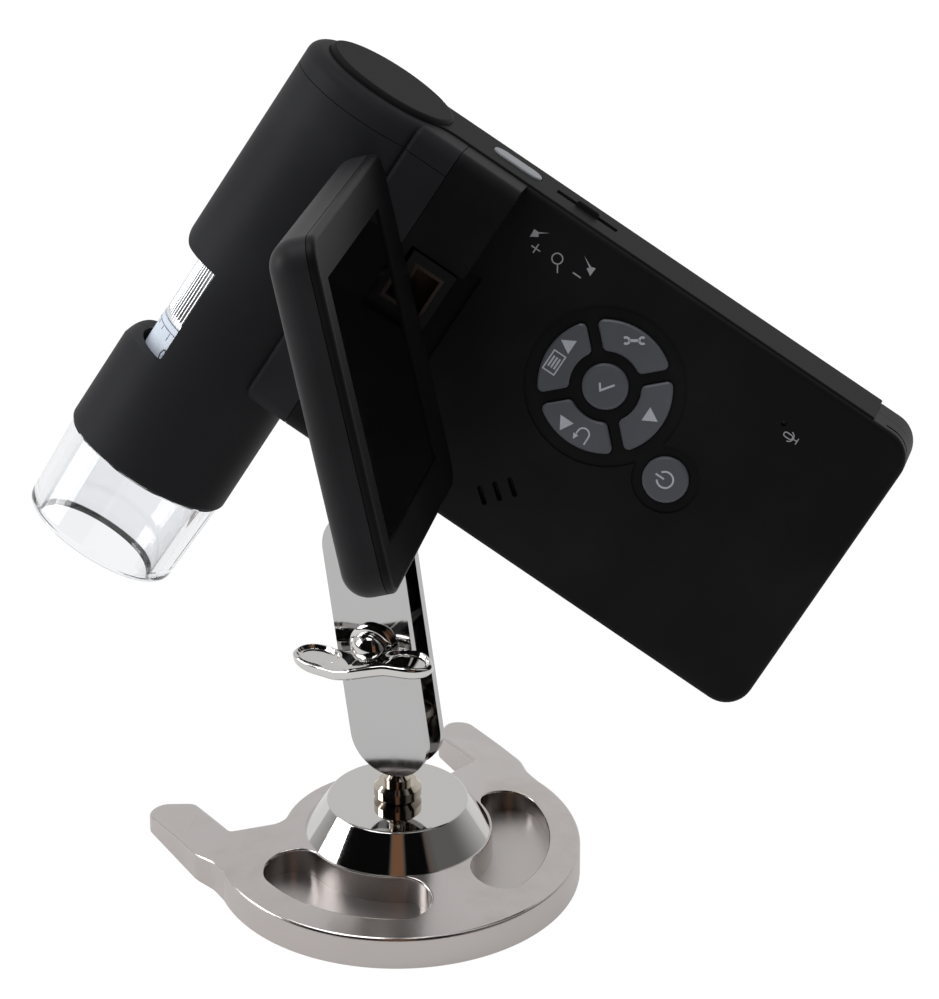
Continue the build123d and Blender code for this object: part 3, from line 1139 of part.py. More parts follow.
# ---------------------------------------------------------------- all nodes
def handset_nodes():
    """Every node that is fixed to the handset frame at rest."""
    barrel_front, barrel_rear = barrel_shells()
    whole = body_half()
    board, chip, cable = sensor_parts()
    nodes = {
        "barrel_front_shell": barrel_front,
        "barrel_rear_shell": barrel_rear,
        "top_trim": top_trim(),
        "focus_ring": focus_ring(),
        "scale_band": scale_band(),
        "lens_tube": lens_tube(),
        "lens_carriage": lens_carriage(),
        "front_lens": lens(CARRIAGE_TOP + CARRIAGE_LENGTH - LENS_THICK, -1),
        "rear_lens": lens(CARRIAGE_TOP, 1),
        "nose_plate": nose_plate(),
        "led_board": led_board(),
        "leds": leds(),
        "sensor_board": board,
        "image_sensor": chip,
        "sensor_cable": cable,
        "clear_tip": clear_tip(),
        "front_panel": front_panel(whole),
        "rear_shell": rear_shell(whole),
        "case_screws": case_screws(),
        "main_board": main_board(),
        "key_mat": key_mat(),
        "ok_key": round_key(KEYPAD_X, KEYPAD_Y, OK_KEY_R),
        "power_key": round_key(POWER_X, POWER_Y, POWER_KEY_R),
        "shutter_button": shutter_button(),
        "side_board": side_board(),
        "zoom_dial": zoom_dial(),
        "speaker": rod_z(SPEAKER_X, SPEAKER_Y, SPEAKER_R, PANEL_IN_Z - SPEAKER_THICK, PANEL_IN_Z),
        "microphone": rod_z(MIC_X, MIC_Y, MIC_R, PANEL_IN_Z - MIC_THICK, PANEL_IN_Z),
        "battery": battery_box(0, COVER_THICK + SEAT, COVER_THICK + SEAT + BATTERY_THICK),
        "battery_cover": battery_cover(),
        "port_flap": port_flap(),
        "tripod_insert": tripod_insert(),
        "fold_pins": fold_pins(),
    }
    for name, turn in RING_KEYS.items():
        nodes[name] = ring_key(turn)
    for name, size in SOCKET_SIZES.items():
        nodes[name] = socket(*size)
    return nodes


def all_nodes():
    """Every node in the row frame."""
    nodes = {name: HANDSET_PLACE * shape for name, shape in handset_nodes().items()}
    nodes["hinge_block"] = HINGE_PLACE * hinge_block()
    nodes["swivel_bracket"] = HINGE_PLACE * swivel_bracket()
    for name, make in {"swivel_pin": swivel_pin, "lid_back": lid_back, "lid_bezel": lid_bezel,
                       "lcd_panel": lcd_panel, "lcd_glass": lcd_glass}.items():
        nodes[name] = LID_PLACE * make()
    nodes["foot"] = foot()
    nodes["foot_boss"] = foot_boss()
    nodes["boss_screw"] = boss_screw()
    nodes["lower_ball_stud"] = lower_ball_stud()
    nodes["upper_ball_stud"] = upper_ball_stud()
    nodes["front_plate"] = CLAMP_PLACE * clamp_plate(-1)
    nodes["rear_plate"] = CLAMP_PLACE * (clamp_plate(1) - stud_notch())
    nodes["clamp_nut"] = CLAMP_PLACE * clamp_nut()
    nodes["wing_screw"] = CLAMP_PLACE * wing_screw()
    return nodes


os.makedirs("parts", exist_ok=True)
for node_name, node_shape in all_nodes().items():
    export_step(node_shape, f"parts/{node_name}.step")
    print(node_name, round(node_shape.volume, 1))
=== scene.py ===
# %% [markdown]
# A hand-held digital microscope on a clamp stand
#
# The solid model is loaded as a fixed frame, and this file dresses it. Most of the microscope is
# moulded and turned hardware whose solids already have the right shape, so they stay and get a
# finish. What a solid model leaves coarse is made here as surfaces worked out with numpy: the fine
# ribs of the focus ring, the wing screw's dished wings, and everything that is printed.

# %% Load the frame
import json
from math import cos, pi, radians, sin

import bmesh
import bpy
import numpy as np
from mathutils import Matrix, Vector


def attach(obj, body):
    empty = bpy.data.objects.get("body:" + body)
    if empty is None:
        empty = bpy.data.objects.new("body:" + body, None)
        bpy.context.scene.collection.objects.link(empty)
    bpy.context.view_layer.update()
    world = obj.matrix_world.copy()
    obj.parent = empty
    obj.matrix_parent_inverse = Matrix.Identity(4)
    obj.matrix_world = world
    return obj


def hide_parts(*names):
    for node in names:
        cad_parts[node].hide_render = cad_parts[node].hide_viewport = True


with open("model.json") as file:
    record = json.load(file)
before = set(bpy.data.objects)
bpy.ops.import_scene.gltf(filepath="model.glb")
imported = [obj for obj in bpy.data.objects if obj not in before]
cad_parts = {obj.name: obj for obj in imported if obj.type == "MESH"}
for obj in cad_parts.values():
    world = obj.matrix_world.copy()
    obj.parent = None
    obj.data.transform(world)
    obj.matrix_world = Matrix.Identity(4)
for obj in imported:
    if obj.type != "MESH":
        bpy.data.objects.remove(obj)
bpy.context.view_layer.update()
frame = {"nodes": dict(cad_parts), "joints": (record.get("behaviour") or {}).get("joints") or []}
MM = 0.001
nodes = frame["nodes"]
joints = {joint["name"]: joint for joint in frame["joints"]}
print("nodes:", len(nodes), "joints:", len(joints))

# %% [markdown]
# Frames of the moving groups
#
# Prints and pieces are easiest to design flat, in the frame of the thing that they sit on. The
# joints say where those frames are: a key moves against the panel's normal, and the focus ring
# turns about the barrel. Each frame here is a matrix of three axes and an origin, in millimetres.

# %% Read the handset's and the clamp's frame from the joints
RING_TOP = 45.0
BARREL_AXIS_Z = 14.0


def axes_frame(x, y, z, origin):
    """Rows of a 3 by 4 matrix: a point is x, y and z times its three numbers, plus the origin."""
    return np.column_stack([x, y, z, origin])


def place(matrix, points):
    """Points of a local frame in millimetres, as points of the shared frame in metres: M p / 1000."""
    points = np.asarray(points, float)
    return (points @ matrix[:, :3].T + matrix[:, 3]) * MM


def joint_axis(name):
    """A joint's unit axis."""
    axis = np.array(joints[name]["axis"], float)
    return axis / np.linalg.norm(axis)


def joint_point(name):
    """A joint's point, in millimetres."""
    return np.array(joints[name]["pos_m"], float) / MM


up_barrel = joint_axis("focus_turn")
out_panel = -joint_axis("menu_press")
along_body = np.cross(up_barrel, out_panel)
handset = axes_frame(along_body, up_barrel, out_panel,
                     joint_point("focus_turn") + RING_TOP * up_barrel - BARREL_AXIS_Z * out_panel)

out_clamp = joint_axis("wing_turn")
along_clamp = joint_point("head_tilt") - joint_point("arm_tilt")
ball_spacing = float(np.linalg.norm(along_clamp))
along_clamp /= ball_spacing
clamp = axes_frame(np.cross(along_clamp, out_clamp), along_clamp, out_clamp, joint_point("wing_turn"))
print("clamp spacing:", round(ball_spacing, 2), "mm")

# %% [markdown]
# Camera
#
# The object is seen from the front left and from above. The camera stands more than a metre away and
# has a long lens, so that the object fills the view and its edges stay almost parallel.

# %% Place the camera
SENSOR = 36.0
LENS = 201.8
CAMERA_AT = Vector((-0.49585, -0.92717, 0.6664))
CAMERA_TURN = radians(29.0)
CAMERA_DOWN = radians(28.6)

camera = bpy.data.objects.new("camera", bpy.data.cameras.new("camera"))
bpy.context.scene.collection.objects.link(camera)
look = Vector((sin(CAMERA_TURN) * cos(CAMERA_DOWN), cos(CAMERA_TURN) * cos(CAMERA_DOWN), -sin(CAMERA_DOWN)))
camera.location = CAMERA_AT
camera.rotation_euler = look.to_track_quat("-Z", "Y").to_euler()
camera.data.sensor_width = SENSOR
camera.data.lens = LENS
camera.data.clip_end = 50.0
bpy.context.scene.camera = camera
print("camera at", [round(v, 3) for v in CAMERA_AT])

# %% [markdown]
# Writing materials as formulas
#
# A node tree is a formula. A small class wraps one output socket and overloads the arithmetic, so
# that 1 - mask or noise * 0.2 adds the Math nodes by itself. A finish is a material with one method
# that adds any other node: its settings are set first, and then its sockets are fed with numbers or
# with links. Patterns read Object coordinates, which are metres in the object's own frame, so a
# noise of scale 1000 has lumps of about a millimetre.

# %% The wire and finish classes
class Wire:
    """A value that comes out of a node and can be used in a formula."""

    def __init__(self, finish, socket):
        self.finish = finish
        self.socket = socket

    def math(self, operation, *values):
        """One Math node on this value and others."""
        sockets = dict(enumerate([self, *values]))
        return self.finish.node("ShaderNodeMath", {"operation": operation}, sockets)

    def __add__(self, other):
        return self.math("ADD", other)

    def __sub__(self, other):
        return self.math("SUBTRACT", other)

    def __mul__(self, other):
        return self.math("MULTIPLY", other)

    def __rsub__(self, other):
        return self * -1 + other

    __radd__ = __add__
    __rmul__ = __mul__

    def rise(self, low, high):
        """0 below low, 1 above high, and a smooth step between them."""
        settings = {"interpolation_type": "SMOOTHSTEP"}
        sockets = {"Value": self, "From Min": low, "From Max": high}
        return self.finish.node("ShaderNodeMapRange", settings, sockets)


class Finish:
    """A material made of one Principled shader and the nodes that feed it."""

    def __init__(self, name):
        self.material = bpy.data.materials.new(name)
        self.material.use_nodes = True
        self.tree = self.material.node_tree
        self.shader = self.tree.nodes["Principled BSDF"]

    def node(self, kind, settings=None, sockets=None, out=0):
        """Adds a node, sets its settings, feeds its sockets and returns one output as a wire."""
        node = self.tree.nodes.new(kind)
        for name, value in (settings or {}).items():
            setattr(node, name, value)
        for name, value in (sockets or {}).items():
            self.feed(node.inputs[name], value)
        return Wire(self, node.outputs[out])

    def feed(self, socket, value):
        """A number stays on the socket, and a wire is linked to it."""
        if isinstance(value, Wire):
            self.tree.links.new(value.socket, socket)
        elif isinstance(value, tuple) and len(value) == 3 and socket.type == "RGBA":
            socket.default_value = (*value, 1.0)
        else:
            socket.default_value = value

    def set(self, **sockets):
        """Feeds the shader's sockets, with an underscore for each space in a name."""
        for name, value in sockets.items():
            self.feed(self.shader.inputs[name.replace("_", " ")], value)
        return self

    def place(self):
        """The point on the surface, in metres."""
        return self.node("ShaderNodeTexCoord", out=3)

    def flat_place(self):
        """The point on the surface without its height."""
        sockets = {0: self.place(), 1: (1.0, 1.0, 0.0)}
        return self.node("ShaderNodeVectorMath", {"operation": "MULTIPLY"}, sockets)

    def noise(self, scale, detail=2.0, stretch=(1.0, 1.0, 1.0), roughness=0.5):
        """Cloudy noise from 0 to 1, with scale lumps a metre, stretched along the axes."""
        where = self.node("ShaderNodeMapping", {}, {"Vector": self.place(), "Scale": stretch})
        sockets = {"Vector": where, "Scale": scale, "Detail": detail, "Roughness": roughness}
        return self.node("ShaderNodeTexNoise", {}, sockets)

    def mix(self, share, first, second):
        """The first colour where share is 0, the second where it is 1."""
        sockets = {0: share, 6: first, 7: second}
        return self.node("ShaderNodeMix", {"data_type": "RGBA"}, sockets, out=2)

    def bump(self, height, distance, strength=1.0):
        """A normal that follows a height of 0 to 1, whose relief is distance metres."""
        sockets = {"Height": height, "Distance": distance, "Strength": strength}
        return self.node("ShaderNodeBump", {}, sockets)


print("finish classes ready")

# %% [markdown]
# Moulded plastics
#
# The case is near-black plastic with a soft, fine-grained skin. It is dark because of its pigment,
# and what shows its form is the broad sheen of the room on it. So the base colour is almost black,
# the roughness is about a half with slow patches where hands have touched it, and a very fine grain
# goes into the normal. The same recipe with other numbers serves the trim, the lid, the rubber flap
# and the grey keys. Its shine is the share of mirror light, low on a skin that scatters.

# %% Plastic finishes
PATCHES = 38.0       # slow patches of wear, in lumps a metre
PATCH_LIGHTER = 1.25
GRAIN_HAZE = 0.04    # how much the fine grain adds to the roughness


def moulded(name, colour, roughness, grain=9000.0, relief=0.000006, patch=0.06, shine=0.3):
    """A moulded plastic: its colour and roughness drift slowly, and its skin has a fine grain."""
    finish = Finish(name)
    drift = finish.noise(PATCHES, 3.0)
    grains = finish.noise(grain, 2.0)
    lighter = tuple(c * PATCH_LIGHTER + 0.002 for c in colour)
    finish.set(Base_Color=finish.mix(drift.rise(0.35, 0.75), colour, lighter),
               Roughness=roughness - patch / 2 + drift * patch + grains * GRAIN_HAZE,
               Normal=finish.bump(grains, relief), Specular_IOR_Level=shine)
    return finish.material


barrel_black = moulded("barrel_black", (0.0148, 0.0150, 0.0168), 0.52, shine=0.07)
panel_black = moulded("panel_black", (0.0050, 0.0050, 0.0056), 0.5, shine=0.1)
trim_black = moulded("trim_black", (0.0095, 0.0091, 0.0092), 0.5, shine=0.03)
lid_black = moulded("lid_black", (0.0110, 0.0107, 0.0122), 0.45, shine=0.14)
bezel_black = moulded("bezel_black", (0.0040, 0.0038, 0.0044), 0.4, shine=0.1)
flap_black = moulded("flap_black", (0.010, 0.010, 0.010), 0.62, 5000.0, 0.00001)
inner_black = moulded("inner_black", (0.006, 0.006, 0.006), 0.6)
key_slate = moulded("key_slate", (0.071, 0.074, 0.086), 0.4, 12000.0, 0.000004)
shutter_blue = moulded("shutter_blue", (0.19, 0.20, 0.225), 0.3, 12000.0, 0.000003)
mat_grey = moulded("mat_grey", (0.18, 0.18, 0.19), 0.6)
print("plastic finishes:", len(bpy.data.materials))

# %% [markdown]
# Gloss, glass and small electronics
#
# The display is switched off: a flat, glossy, almost black window. The tip is clear acrylic, so it
# bends light as a real wall does. The parts inside are seen only through the tip, the window or an
# open flap. They get the finishes of real ones: green boards with tracks and gold pads, glass
# lenses, an amber flat cable.

# %% Gloss and glass finishes
def glossy(name, colour, roughness, coat=0.0):
    """A smooth, hard surface with a trace of haze."""
    finish = Finish(name)
    haze = finish.noise(55.0, 2.0)
    finish.set(Base_Color=colour, Roughness=roughness + haze * 0.03, Coat_Weight=coat, Coat_Roughness=0.04)
    return finish.material


def clear(name, colour, ior, roughness=0.0):
    """A clear solid that bends light."""
    finish = Finish(name)
    smear = finish.noise(70.0, 2.0)
    finish.set(Base_Color=colour, Roughness=roughness + smear.rise(0.5, 0.8) * 0.02, IOR=ior,
               Transmission_Weight=1.0)
    return finish.material


display_black = glossy("display_black", (0.0010, 0.0009, 0.0014), 0.05)
panel_grey = glossy("panel_grey", (0.02, 0.02, 0.022), 0.2)
clear_acrylic = clear("clear_acrylic", (0.885, 0.894, 0.912), 1.49)
lens_glass = clear("lens_glass", (0.95, 0.97, 0.96), 1.52)
led_clear = glossy("led_clear", (0.75, 0.74, 0.66), 0.12, 0.5)
sensor_black = glossy("sensor_black", (0.01, 0.01, 0.016), 0.08)
cable_amber = glossy("cable_amber", (0.35, 0.13, 0.02), 0.3)
battery_wrap = glossy("battery_wrap", (0.012, 0.016, 0.035), 0.28)


def circuit_board():
    """Green solder mask with a faint pattern of tracks under it, and small gold dots."""
    finish = Finish("board_green")
    tracks = finish.node("ShaderNodeTexBrick", {"offset": 0.5},
                         {"Vector": finish.place(), "Scale": 420.0, "Mortar Size": 0.06,
                          "Color1": (0.010, 0.095, 0.035), "Color2": (0.012, 0.11, 0.04),
                          "Mortar": (0.02, 0.17, 0.065)})
    dots = finish.node("ShaderNodeTexVoronoi", {}, {"Vector": finish.place(), "Scale": 520.0})
    pad = 1 - dots.rise(0.12, 0.16)
    gold = (0.55, 0.38, 0.12)
    finish.set(Base_Color=finish.mix(pad, tracks, gold), Roughness=0.35 - pad * 0.1, Metallic=pad)
    return finish.material


board_green = circuit_board()
print("gloss finishes made")

# %% [markdown]
# Plated metal
#
# The stand is cast and turned metal with bright nickel. Turned and rolled pieces are mirrors with
# faint wiping marks. The foot's casting is less even: its top is polished, its outer side is satin,
# darker and browner, and the floors of its two trays are sand-cast and glitter. Its recipe mixes
# the roughness and the colour from masks of height, of distance from the middle and of the way a
# face looks, so the same casting changes from mirror to satin.

# %% Metal finishes
NICKEL = (0.60, 0.585, 0.57)
STAIN = (0.42, 0.36, 0.30)
FOOT_TOP = (0.54, 0.51, 0.50)
FOOT_SIDE = (0.50, 0.46, 0.445)
TRAY_HEIGHT = (0.0058, 0.0064)   # metres: the tray floors lie lower, and the foot's top higher
OUTER_REACH = (0.0342, 0.0352)   # metres from the middle: the trays end before, the side is beyond


def plated(name, colour, roughness, wipe=(1.0, 1.0, 0.06), stain=0.25):
    """Polished plating: slow brownish stains, and wiping marks along one direction."""
    finish = Finish(name)
    cloud = finish.noise(45.0, 4.0)
    marks = finish.noise(1500.0, 3.0, wipe)
    stained = cloud.rise(0.55, 0.8) * stain
    finish.set(Base_Color=finish.mix(stained, colour, STAIN), Metallic=1.0,
               Roughness=roughness + marks.rise(0.45, 0.9) * 0.05 + stained * 0.15,
               Normal=finish.bump(marks, 0.000001))
    return finish.material


def cast_foot():
    """The foot: polished top, satin side beyond the trays' reach, glittering tray floors."""
    finish = Finish("cast_nickel")
    height = finish.node("ShaderNodeSeparateXYZ", {}, {"Vector": finish.place()}, out=2)
    facing = finish.node("ShaderNodeNewGeometry", out=1)
    upward = finish.node("ShaderNodeSeparateXYZ", {}, {"Vector": facing}, out=2)
    flat_top = upward.rise(0.75, 0.95)
    tray = flat_top * (1 - height.rise(*TRAY_HEIGHT))
    reach = finish.node("ShaderNodeVectorMath", {"operation": "LENGTH"}, {0: finish.flat_place()}, out=1)
    # Faces that point sideways, beyond the trays' reach, get a darker and browner colour and more roughness.
    side = (1 - upward.rise(0.3, 0.6)) * reach.rise(*OUTER_REACH)
    cloud = finish.noise(60.0, 5.0, roughness=0.6)
    blotch = finish.noise(22.0, 3.0)
    glitter = finish.noise(5200.0, 2.0)
    stained = cloud.rise(0.45, 0.75) * (0.35 + side * 0.35) * (1 - tray)
    worn = finish.mix(stained, FOOT_TOP, STAIN)
    finish.set(Base_Color=finish.mix(side, worn, FOOT_SIDE), Metallic=1.0,
               Roughness=0.16 + side * 0.1 + tray * 0.22 + stained * 0.15 + blotch * 0.04,
               Normal=finish.bump(glitter * tray + cloud * 0.4, 0.00004, 0.6))
    return finish.material


def satin(name, colour, roughness, brushed=(1.0, 1.0, 1.0), scale=2500.0):
    """Matt or brushed bare metal."""
    finish = Finish(name)
    grain = finish.noise(scale, 3.0, brushed)
    finish.set(Base_Color=finish.mix(grain.rise(0.3, 0.8), colour, tuple(c * 0.85 for c in colour)),
               Metallic=1.0, Roughness=roughness + grain * 0.1, Normal=finish.bump(grain, 0.000004))
    return finish.material


cast_nickel = cast_foot()
mirror_nickel = plated("mirror_nickel", NICKEL, 0.05, stain=0.15)
plate_nickel = plated("plate_nickel", (0.49, 0.485, 0.485), 0.07, (1.0, 1.0, 0.05))
stud_nickel = plated("stud_nickel", (0.52, 0.47, 0.40), 0.08, (1.0, 1.0, 1.0))
# The hinge's steel is coloured almost black: painted shade of the narrow gap under the lid, on parts that
# are bright chrome.
hinge_steel = satin("hinge_steel", (0.10, 0.09, 0.085), 0.3, (1.0, 1.0, 0.1))
steel_screw = satin("steel_screw", (0.42, 0.42, 0.43), 0.3)
socket_steel = satin("socket_steel", (0.5, 0.5, 0.5), 0.28)
insert_brass = satin("insert_brass", (0.62, 0.44, 0.18), 0.3)
print("metal finishes made")

# %% [markdown]
# Dressing the solids
#
# A solid keeps its shape and its place, and only its material slots change.

# %% Assign the finishes to the nodes
DRESS = [
    (barrel_black, "barrel_front_shell barrel_rear_shell"),
    (panel_black, "front_panel rear_shell battery_cover"),
    (trim_black, "top_trim hinge_block zoom_dial"),
    (flap_black, "port_flap"),
    (lid_black, "lid_back"),
    (bezel_black, "lid_bezel"),
    (inner_black, "lens_tube lens_carriage nose_plate speaker"),
    (key_slate, "menu_key settings_key play_key return_key ok_key power_key"),
    (shutter_blue, "shutter_button"),
    (mat_grey, "key_mat"),
    (display_black, "lcd_glass"),
    (panel_grey, "lcd_panel"),
    (clear_acrylic, "clear_tip"),
    (lens_glass, "front_lens rear_lens"),
    (led_clear, "leds"),
    (sensor_black, "image_sensor"),
    (cable_amber, "sensor_cable"),
    (battery_wrap, "battery"),
    (board_green, "led_board sensor_board main_board side_board"),
    (cast_nickel, "foot"),
    (mirror_nickel, "foot_boss clamp_nut"),
    (plate_nickel, "front_plate rear_plate"),
    (stud_nickel, "lower_ball_stud upper_ball_stud"),
    (hinge_steel, "swivel_bracket swivel_pin fold_pins"),
    (steel_screw, "boss_screw case_screws"),
    (socket_steel, "usb_socket tv_socket card_socket microphone"),
    (insert_brass, "tripod_insert"),
]
dressed = 0
for material, names in DRESS:
    for name in names.split():
        nodes[name].data.materials.clear()
        nodes[name].data.materials.append(material)
        dressed += 1
print("nodes dressed:", dressed)

# %% [markdown]
# Making a surface from a grid
#
# A surface is a function of two parameters on a grid. The helper takes the finished array of
# points, joins each square of neighbours into a face, and closes the surface round or at its ends
# where it is told to.

# %% Grid surfaces
def grid_faces(rows, columns, round_rows=False, round_columns=False):
    """Faces between neighbours: corner (i, j), the next row, both, and the next column."""
    i = np.arange(rows if round_rows else rows - 1)
    j = np.arange(columns if round_columns else columns - 1)
    i, j = np.meshgrid(i, j, indexing="ij")
    k, m = (i + 1) % rows, (j + 1) % columns
    corners = [i * columns + j, k * columns + j, k * columns + m, i * columns + m]
    return np.stack(corners, axis=-1).reshape(-1, 4)


def new_piece(name, points, faces, material, smooth=True, sharp=None):
    """An object of points in metres and faces, with doubles merged and its faces turned outwards."""
    mesh = bpy.data.meshes.new(name)
    corners = np.asarray(points, float).reshape(-1, 3).tolist()
    mesh.from_pydata(corners, [], [[int(corner) for corner in face] for face in faces])
    work = bmesh.new()
    work.from_mesh(mesh)
    bmesh.ops.remove_doubles(work, verts=work.verts, dist=1e-7)
    bmesh.ops.dissolve_degenerate(work, edges=work.edges, dist=1e-8)
    bmesh.ops.recalc_face_normals(work, faces=work.faces)
    work.to_mesh(mesh)
    work.free()
    mesh.polygons.foreach_set("use_smooth", np.full(len(mesh.polygons), smooth))
    if sharp is not None:
        mesh.set_sharp_from_angle(angle=radians(sharp))
    mesh.materials.append(material)
    piece = bpy.data.objects.new(name, mesh)
    bpy.context.scene.collection.objects.link(piece)
    return piece


print("grid helpers ready")

# %% [markdown]
# The ribbed focus ring
#
# The ring is turned aluminium with fine straight ribs for the fingertip. It is one surface: a
# profile of radius against depth, carried round the barrel axis, where the radius of the ribbed
# part swings with the angle. The inside and both end faces belong to the same closed profile.

# %% Focus ring surface
RING_R = 14.2
RING_BORE_R = 11.2
RING_BAND_TOP = 67.5   # where the ribs stop and the scale band starts
RING_BOTTOM = 78.5
BAND_THICK = 0.6
RIB_COUNT = 84
RIB_DEPTH = 0.42
RIB_STEPS = 8          # points round the ring for each rib
EDGE_ROUND = 0.7
RIB_RUN = 0.3          # length over which a rib rises from the smooth edge


def ring_surface():
    """Rows are radius, depth and rib share, carried round the barrel's axis.

    The radius loses rib share * depth * ((1 - cos(rib count * angle)) / 2) ^ 1.5.
    """
    outer, low = RING_R, RING_R - BAND_THICK
    edge, step = EDGE_ROUND, 0.3 * EDGE_ROUND
    ribs_start, ribs_end = RING_TOP + 2 * edge, RING_BAND_TOP - 2 * edge
    profile = np.array([
        (RING_BORE_R, RING_TOP, 0), (outer - edge, RING_TOP, 0), (outer - step, RING_TOP + step, 0),
        (outer, RING_TOP + edge, 0), (outer, ribs_start, 0), (outer, ribs_start + RIB_RUN, 1),
        (outer, ribs_end - RIB_RUN, 1), (outer, ribs_end, 0),
        (outer, RING_BAND_TOP - 0.2, 0), (outer - 0.2, RING_BAND_TOP, 0), (low, RING_BAND_TOP, 0),
        (low, RING_BOTTOM, 0), (RING_BORE_R, RING_BOTTOM, 0)])
    count = RIB_COUNT * RIB_STEPS
    angle = np.arange(count) * 2 * pi / count
    rib = RIB_DEPTH * (0.5 - 0.5 * np.cos(RIB_COUNT * angle)) ** 1.5
    radius = profile[:, 0, None] - profile[:, 2, None] * rib
    x, z = radius * np.sin(angle), radius * np.cos(angle) + BARREL_AXIS_Z
    y = np.broadcast_to(-profile[:, 1, None], radius.shape)
    return np.stack([x, y, z], axis=-1)


ring_metal = satin("ring_metal", (0.80, 0.82, 0.84), 0.3, (1.0, 1.0, 1.0), 1800.0)
ring_points = ring_surface()
ring_faces = grid_faces(*ring_points.shape[:2], round_rows=True, round_columns=True)
ring = new_piece("ribbed_ring", place(handset, ring_points.reshape(-1, 3)), ring_faces, ring_metal, sharp=50)
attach(ring, "focus")
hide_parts("focus_ring")
print("ring ribs:", RIB_COUNT, "faces:", len(ring.data.polygons))

# %% [markdown]
# The wing screw
#
# The clamp is tightened by a cast screw with two wings that wave like a tilde. Each wing is dished
# above and below, so that a bright rim runs round it. The shape is a loop carried along the span:
# a rounded oblong whose back, front and height change along the way, and whose upper and lower
# faces are pressed in where the dish is. The ends close to a small oval.

# %% Wing screw surface
WING_SPAN = 17.2
WING_HALF_THICK = 1.6
WING_SAG = 0.8      # the wings lie this far below the bolt's axis
# At each of these distances from the bolt, a wing has this back edge, front edge and rise.
WING_KNOTS = [0.0, 4.0, 8.0, 12.0, 15.0, 17.2]
WING_BACK = [2.5, 2.6, 1.4, 0.5, 1.1, 2.0]
WING_FRONT = [12.4, 11.8, 10.4, 10.0, 9.4, 8.6]
WING_RISE = [0.0, 0.85, 1.2, 0.85, 0.3, 0.1]
WING_STEPS = 141
LOOP_STEPS = 96
EASE_REACH = 1.8    # a knot's corner is averaged over this span to each side
EASE_FADE = 2.0
DISH_DEPTH = 1.0
DISH_AT = 10.9      # distance of a dish's middle from the bolt
DISH_HALF = 5.6
DISH_RIM = 1.0
PLATE_FACE = 4.0    # the front plate's outer face, from the clamp's middle
SEAT = 0.1
BOLT_R = 2.4
BOLT_END = -7.5
FLANGE_R = 5.7
DOME_R = 4.5
DOME_AT = 1.9
DOME_RISE = 3.4


def eased(at, values):
    """Straight lines between the knots, averaged over a short span so that no corner stays.

    An offset o weighs (1 - (o / fade)^2)^2.
    """
    offsets = np.linspace(-EASE_REACH, EASE_REACH, 13)
    weights = (1 - (offsets / EASE_FADE) ** 2) ** 2
    lines = [w * np.interp(np.abs(at + o), WING_KNOTS, values) for o, w in zip(offsets, weights)]
    return sum(lines) / weights.sum()


def smooth(value, low, high):
    """0 below low, 1 above high: t squared times (3 - 2 t)."""
    t = np.clip((value - low) / (high - low), 0, 1)
    return t * t * (3 - 2 * t)


def wing_loops():
    """Loops round the wings at steps of the span, as (side, along, out) of the clamp's frame.

    A loop is (sign(cos) sqrt|cos|, sign(sin) sqrt|sin|) times half the width and half the
    thickness, which shrink with sqrt(1 - r^8) and its power of 0.7 at the tips. The dish is
    1 - (u^2.5 + v^2.5), with u across the wing and v along it, turned into a smooth step, and it is
    pressed into the loop's flat upper and lower parts.
    """
    side = WING_SPAN * np.sin(np.linspace(-pi / 2, pi / 2, WING_STEPS))
    around = np.linspace(0, 2 * pi, LOOP_STEPS, endpoint=False)
    reach = np.abs(side)
    close = np.sqrt(np.clip(1 - (reach / WING_SPAN) ** 8, 0, 1))
    back, front = eased(reach, WING_BACK), eased(reach, WING_FRONT)
    middle, half = (back + front) / 2, (front - back) / 2
    c, d = np.cos(around), np.sin(around)
    across = np.sign(c) * np.abs(c) ** 0.5
    upward = np.sign(d) * np.abs(d) ** 0.5
    out = middle[:, None] + (half * close)[:, None] * across[None, :]
    u = np.abs(out - middle[:, None]) / (half - DISH_RIM)[:, None]
    v = np.abs(reach - DISH_AT)[:, None] / DISH_HALF
    dish = DISH_DEPTH * smooth(1 - (u ** 2.5 + v ** 2.5), 0, 0.4)
    thick = WING_HALF_THICK * close[:, None] ** 0.7
    rise = np.sign(side) * eased(reach, WING_RISE) - WING_SAG
    pressed = np.sign(d) * (np.abs(upward) > 0.5)
    up = rise[:, None] + thick * upward[None, :] - dish * pressed[None, :]
    return np.stack([np.broadcast_to(side[:, None], out.shape), up, out], axis=-1)


def turned_rings(profile, count=64):
    """(radius, out) pairs carried round the screw's axis: side = r sin, along = r cos."""
    angle = np.arange(count) * 2 * pi / count
    radius = np.asarray(profile)[:, 0, None]
    out = np.broadcast_to(np.asarray(profile)[:, 1, None], (len(profile), count))
    return np.stack([radius * np.sin(angle), radius * np.cos(angle), out], axis=-1)


def capped(points):
    """Faces of a grid that is round in its columns, with one face on each end."""
    rows, columns = points.shape[:2]
    ends = [np.arange(columns), np.arange(columns) + (rows - 1) * columns]
    return [*grid_faces(rows, columns, False, True).tolist(), *[e.tolist() for e in ends]]


